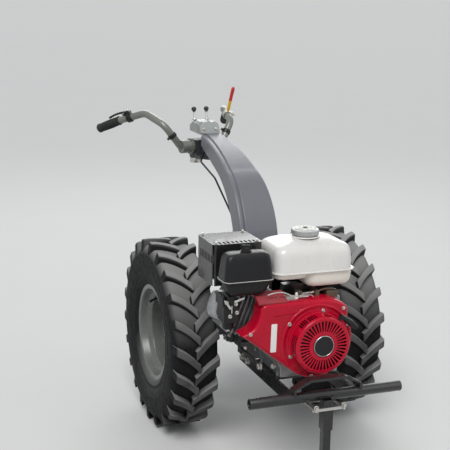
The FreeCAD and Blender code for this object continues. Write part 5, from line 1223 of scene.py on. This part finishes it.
def make_gearbox_fittings():
    form = Form()
    front = here(0, -0.180, 0).y
    for side in (-1, 1):
        for z in (0.300, 0.380, 0.460, 0.520):
            form.bolt(Vector((side * 0.090, front, z)), -Y_AXIS, 0.014)
        for step in range(6):
            turn = math.radians(30 + 60 * step)
            place = here(side * 0.0870, 0.050 * math.cos(turn), 0.325 + 0.050 * math.sin(turn))
            form.bolt(place, Vector((side, 0, 0)), 0.012)
        form.bolt(here(side * 0.065, 0.110, 0.300), Vector((side, 0, 0)), 0.018)
    for step in range(8):
        turn = math.radians(22.5 + 45 * step)
        form.bolt(here(0.103 * math.cos(turn), -0.3185, CRANK_Z + 0.103 * math.sin(turn)), -Y_AXIS,
                  0.010)
    for step in range(6):
        turn = math.radians(60 * step)
        form.bolt(here(0.036 * math.cos(turn), 0.150, 0.386 + 0.036 * math.sin(turn)), Y_AXIS, 0.008)
    form.done("gearbox_bolts", ZINC, "chassis")
    breather = Form()
    breather.turn([(0, 0.011), (0.004, 0.011), (0.005, 0.008), (0.013, 0.008), (0.014, 0.011),
                   (0.022, 0.010), (0.024, 0.0)], here(0.038, 0.062, 0.470), Z_AXIS, 24,
                  caps=(True, False))
    breather.done("gearbox_breather", ZINC, "chassis", 40)
    ribs = Form()
    for side in (-1, 1):
        for z in (0.402, 0.434):
            low = here(0, -0.150, z - 0.003)
            high = here(0, 0.140, z + 0.003)
            ribs.block((min(side * 0.063, side * 0.0685), low.y, low.z),
                       (max(side * 0.063, side * 0.0685), high.y, high.z), 0.0015, 0.002)
    ribs.done("gearbox_ribs", CHARCOAL_CAST, "chassis", 40)


# Controls

def make_console():
    low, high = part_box("console")
    top = high.z
    form = Form()
    plate = box_outline(0.030, 0.046, 0.006, 6)
    middle = Vector(((low.x + high.x) / 2, (low.y + high.y) / 2, top))
    form.plate(plate, middle, Z_AXIS, 0.0024, 0.0006, Y_AXIS)
    form.done("console_plate", PLATE_GREY, "chassis")
    # Thin black sheets over the two lever gates: painted shade for the dark inside of the slots.
    slots = Form()
    for node in ("gear_lever", "speed_lever"):
        root_low, root_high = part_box(node)
        x = (root_low.x + root_high.x) / 2
        y = root_low.y + 0.008
        slots.plate(box_outline(0.0075, 0.017, 0.0072, 8), Vector((x, y, top + 0.0022)), Z_AXIS,
                    0.0010, 0.0003, Y_AXIS)
    slots.done("console_gate_shades", SHADOW, "chassis")
    screws = Form()
    for x in (-1, 1):
        for y in (-1, 1):
            screws.bolt(middle + Vector((x * 0.025, y * 0.040, 0.0022)), Z_AXIS, 0.006, washer=False)
    screws.bolt(middle + Vector((0.004, -0.034, 0.0022)), Z_AXIS, 0.009)
    screws.done("console_screws", ZINC, "chassis")


def make_grips():
    """Ribbed rubber grips with a rounded end, each along its tube."""
    for word in ("left", "right"):
        low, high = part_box(f"grip_{word}")
        mesh = NODES[f"grip_{word}"].data
        middle = sum((vertex.co for vertex in mesh.vertices), Vector()) / len(mesh.vertices)
        spread = [vertex.co - middle for vertex in mesh.vertices]
        heading = max(spread, key=lambda point: point.length).normalized()
        for _ in range(8):
            heading = sum((point * point.dot(heading) for point in spread), Vector()).normalized()
        if heading.y < 0:
            heading = -heading
        reach = [point.dot(heading) for point in spread]
        start, end = middle + heading * min(reach), middle + heading * max(reach)
        length = (end - start).length
        profile = [(0, 0.0150), (0.001, 0.0176), (0.004, 0.0180), (0.006, 0.0172)]
        count = 17
        for step in range(count):
            along = 0.010 + (length - 0.030) * step / count
            pitch = (length - 0.030) / count
            swell = 0.0012 * math.sin(math.pi * step / (count - 1))
            profile += [(along, 0.0158 + swell), (along + pitch * 0.18, 0.0170 + swell),
                        (along + pitch * 0.62, 0.0170 + swell), (along + pitch * 0.80, 0.0158 + swell)]
        profile += [(length - 0.016, 0.0165), (length - 0.012, 0.0180), (length - 0.005, 0.0178),
                    (length - 0.0015, 0.0150), (length, 0.0095), (length, 0.0)]
        form = Form()
        form.turn(profile, start, heading, 36, caps=(True, False))
        form.done(f"grip_{word}_ribbed", GRIP_RUBBER, "handlebar", 40, [f"grip_{word}"])


def swung(x, y, z):
    """A place on the parked handlebar, in millimetres, y measured back from the steering head."""
    turn = math.radians(11.4)
    return at(x * math.cos(turn) - y * math.sin(turn),
              462 + x * math.sin(turn) + y * math.cos(turn), z)


def make_shift_levers():
    """Two plated rods with dark phenolic balls."""
    for node, x in (("gear_lever", -27), ("speed_lever", 24)):
        root, tip = at(x, 540, 958), at(x, 556, 1021)
        along = (tip - root).normalized()
        rod = Form()
        rod.rod(root, tip, 0.0036, 16)
        rod.turn([(0.016, 0.0042), (0.018, 0.0068), (0.026, 0.0062), (0.029, 0.0042)], root, along,
                 20)
        rod.done(f"{node}_rod", ZINC, "chassis", 40, [node])
        ball = Form()
        profile = [(-0.0125, 0.0048), (-0.0105, 0.0056)]
        for step in range(3, 19):
            turn = math.radians(180 * step / 18)
            profile.append((-0.0100 * math.cos(turn), 0.0100 * math.sin(turn)))
        ball.turn(profile, tip, along, 28, caps=(True, False))
        ball.done(f"{node}_knob", KNOB_DARK, "chassis", 60)


def make_clutch_lever():
    """A plated clamp on the right tube with a yellow shank and a broad red handle."""
    lower, upper = swung(150, 76, 968), swung(178, 180, 1004)
    heading = (upper - lower).normalized()
    middle = (lower + upper) / 2
    clamp = Form()
    clamp.turn([(-0.009, 0.0146), (-0.009, 0.0168), (-0.008, 0.0180), (0.008, 0.0180),
                (0.009, 0.0168), (0.009, 0.0146)], middle, heading, 40, ring=True)
    side = heading.cross(Z_AXIS).normalized()
    ear = middle + side * 0.019
    clamp.block(ear - Vector((0.0055, 0.008, 0.009)), ear + Vector((0.0055, 0.008, 0.009)), 0.003,
                0.002)
    clamp.bolt(ear + side * 0.005, side, 0.009)
    clamp.done("clutch_clamp", ZINC, "handlebar", 40)
    tip = middle + swung(0, -44, 114) - swung(0, 0, 0)
    along = (tip - middle).normalized()
    start = middle + along * 0.0165
    length = (tip - start).length
    shank = Form()
    shank.turn([(0, 0.0052), (0.002, 0.0060), (length * 0.42, 0.0060), (length * 0.45, 0.0052)],
               start, along, 24)
    shank.done("clutch_lever_shank", LEVER_YELLOW, "handlebar", 40)
    handle = Form()
    loops = []
    for share, wide, deep in ((0.40, 0.0050, 0.0045), (0.41, 0.0064, 0.0054), (0.50, 0.0066, 0.0056),
                              (0.72, 0.0070, 0.0058), (0.90, 0.0072, 0.0058), (0.96, 0.0064, 0.0050),
                              (0.99, 0.0045, 0.0034), (1.0, 0.0022, 0.0016)):
        turned = frame_towards(along, Y_AXIS)
        loops.append([start + along * (length * share) + turned @ Vector(
            (wide * math.cos(angle), deep * math.sin(angle), 0))
            for angle in (2 * math.pi * step / 24 for step in range(24))])
    handle.skin(loops)
    handle.done("clutch_lever_handle", LEVER_RED, "handlebar", 50, ["clutch_lever"])


def make_left_perch():
    """The left side's clamp, switch and lever, held close over the tube."""
    crest, fall = swung(-178, 180, 1004), swung(-243, 262, 970)
    heading = (fall - crest).normalized()
    spot = crest + (fall - crest) * 0.62
    over = (Z_AXIS - heading * heading.z).normalized()
    side = heading.cross(over)
    clamp = Form()
    clamp.turn([(-0.010, 0.0146), (-0.010, 0.0175), (-0.008, 0.0192), (0.008, 0.0192),
                (0.010, 0.0175), (0.010, 0.0146)], spot, heading, 40, ring=True)
    top = spot + over * 0.020
    for shift, size in ((0.0, 0.0085), (0.018, 0.0070)):
        clamp.rod(top + heading * shift - side * 0.012, top + heading * shift + side * 0.012, size, 20)
    clamp.pipe(curve_through([top + heading * -0.004, top + heading * 0.020 + over * 0.006,
                              top + heading * 0.055 + over * 0.006, top + heading * 0.085]), 0.0042,
               12)
    clamp.done("left_perch", BLACK_PLASTIC, "handlebar", 40)
    metal = Form()
    metal.bolt(top + over * 0.006, over, 0.009)
    metal.bolt(spot + side * 0.0185, side, 0.008)
    metal.rod(top + heading * 0.018 - side * 0.014, top + heading * 0.018 + side * 0.014, 0.0028, 12)
    metal.done("left_perch_screws", ZINC, "handlebar")


def make_console_face():
    """The light plate over the console's front, lobed round the two levers."""
    outline = [Vector(point) * MM for point in
               ((-36, -22), (34, -26), (39, -6), (38, 8), (31, 19), (22, 22), (15, 17), (9, 20), (0, 24),
                (-9, 20), (-16, 16), (-23, 21), (-33, 18), (-39, 6), (-40, -8))]
    form = Form()
    form.plate(rounded(outline, 0.010, 6), at(0, 447, 962), Vector((0, -1, 0.28)), 0.0032, 0.0009,
               Z_AXIS)
    form.done("console_face", PLATE_GREY, "chassis", 40)
    screws = Form()
    screws.bolt(at(24, 441.5, 958), Vector((0, -1, 0.28)), 0.0075)
    screws.bolt(at(-26, 441.5, 958), Vector((0, -1, 0.28)), 0.0075)
    screws.done("console_face_screws", ZINC, "chassis")


def make_guard_fittings():
    low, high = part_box("muffler_guard")
    form = Form()
    for x in (low.x + 0.014, high.x - 0.014):
        for y in (low.y + 0.012, high.y - 0.012):
            form.bolt(Vector((x, y, high.z)), Z_AXIS, 0.008)
    form.done("muffler_guard_screws", ZINC, "chassis")


def make_tube_bands():
    """A dark clamp band on each tube just above its boss."""
    for side in (-1, 1):
        lower, upper = swung(side * 90, 52, 884), swung(side * 150, 76, 968)
        heading = (upper - lower).normalized()
        spot = lower + (upper - lower) * 0.52
        band = Form()
        band.turn([(-0.008, 0.0142), (-0.008, 0.0160), (-0.007, 0.0168), (0.007, 0.0168),
                   (0.008, 0.0160), (0.008, 0.0142)], spot, heading, 36, ring=True)
        across = heading.cross(Y_AXIS).normalized()
        band.rod(spot + across * 0.015, spot + across * 0.024, 0.005, 16)
        word = "left" if side < 0 else "right"
        band.done(f"tube_band_{word}", BLACK_PLASTIC, "handlebar", 40)


# Stage, lights and camera

def make_floor():
    shader = Shader("floor", 1.0, specular=0.1)
    shader.colour(shader.mix(shader.noise(3), rgb(0.60, 0.60, 0.59), rgb(0.62, 0.62, 0.61)))
    mesh = bpy.data.meshes.new("floor")
    reach = 80
    mesh.from_pydata([(-reach, -reach, 0), (reach, -reach, 0), (reach, reach, 0),
                      (-reach, reach, 0)], [], [(0, 1, 2, 3)])
    mesh.materials.append(shader.material)
    floor = bpy.data.objects.new("floor", mesh)
    bpy.context.scene.collection.objects.link(floor)


def make_lamp(name, place, power, size):
    lamp = bpy.data.lights.new(name, "AREA")
    lamp.energy = power
    lamp.size = size
    holder = bpy.data.objects.new(name, lamp)
    holder.location = place
    holder.visible_camera = False
    holder.rotation_euler = (-Vector(place)).to_track_quat("-Z", "Y").to_euler()
    bpy.context.scene.collection.objects.link(holder)


def make_sun(name, place, power, spread):
    lamp = bpy.data.lights.new(name, "SUN")
    lamp.energy = power
    lamp.angle = math.radians(spread)
    holder = bpy.data.objects.new(name, lamp)
    holder.rotation_euler = (-Vector(place)).to_track_quat("-Z", "Y").to_euler()
    bpy.context.scene.collection.objects.link(holder)


def make_lights():
    world = bpy.data.worlds.new("studio")
    world.use_nodes = True
    sky = world.node_tree.nodes["Background"]
    sky.inputs["Color"].default_value = rgb(0.92, 0.95, 1.0)
    sky.inputs["Strength"].default_value = 0.40
    shown = world.node_tree.nodes.new("ShaderNodeBackground")
    shown.inputs["Color"].default_value = rgb(0.95, 0.97, 1.0)
    shown.inputs["Strength"].default_value = 0.75
    path = world.node_tree.nodes.new("ShaderNodeLightPath")
    seen = world.node_tree.nodes.new("ShaderNodeMath")
    seen.operation = "MAXIMUM"
    mirrored = world.node_tree.nodes.new("ShaderNodeMath")
    mirrored.operation = "MAXIMUM"
    either = world.node_tree.nodes.new("ShaderNodeMixShader")
    links = world.node_tree.links
    links.new(path.outputs["Is Glossy Ray"], mirrored.inputs[0])
    links.new(path.outputs["Is Transmission Ray"], mirrored.inputs[1])
    links.new(path.outputs["Is Camera Ray"], seen.inputs[0])
    links.new(mirrored.outputs[0], seen.inputs[1])
    links.new(seen.outputs[0], either.inputs[0])
    links.new(sky.outputs[0], either.inputs[1])
    links.new(shown.outputs[0], either.inputs[2])
    links.new(either.outputs[0], world.node_tree.nodes["World Output"].inputs["Surface"])
    bpy.context.scene.world = world
    make_sun("sun", (-0.40, -0.62, 1.0), 1.75, 32)
    make_sun("sky glow", (0.42, 0.95, 0.36), 1.1, 50)
    make_lamp("key", (-1.6, -2.6, 3.6), 32, 2.2)
    make_lamp("fill", (2.8, -2.2, 2.0), 16, 2.5)
    make_lamp("back", (0.8, 3.2, 3.0), 22, 2.2)


CAMERA_PLACE = here(-1.406, -3.481, 1.565)
CAMERA_YAW = math.radians(20.59)
CAMERA_PITCH = math.radians(13.27)
CAMERA_ROLL = math.radians(0.98)
CAMERA_LENS = 88.0
SENSOR_WIDTH = 36.0


def make_camera():
    ahead = Vector((math.sin(CAMERA_YAW) * math.cos(CAMERA_PITCH),
                    math.cos(CAMERA_YAW) * math.cos(CAMERA_PITCH), -math.sin(CAMERA_PITCH)))
    level = Vector((math.cos(CAMERA_YAW), -math.sin(CAMERA_YAW), 0))
    above = level.cross(ahead)
    right = math.cos(CAMERA_ROLL) * level + math.sin(CAMERA_ROLL) * above
    up = math.cos(CAMERA_ROLL) * above - math.sin(CAMERA_ROLL) * level
    camera = bpy.data.objects.new("camera", bpy.data.cameras.new("camera"))
    camera.data.lens = CAMERA_LENS
    camera.data.sensor_width = SENSOR_WIDTH
    turned = Matrix((right, up, -ahead)).transposed().to_4x4()
    camera.matrix_world = Matrix.Translation(CAMERA_PLACE) @ turned
    bpy.context.scene.collection.objects.link(camera)
    bpy.context.scene.camera = camera


dress_cad()
make_wheels()
make_column()
make_tank()
make_cap()
make_air_cleaner()
make_shroud()
make_shroud_fittings()
make_starter()
make_valve_cover()
make_carburettor()
make_linkage()
make_engine_fittings()
make_frame_fittings()
make_clamp_bolts()
make_gearbox_fittings()
make_console()
make_grips()
make_shift_levers()
make_clutch_lever()
make_left_perch()
make_console_face()
make_guard_fittings()
make_tube_bands()
make_floor()
make_lights()
make_camera()
bpy.context.scene.view_settings.view_transform = "Standard"
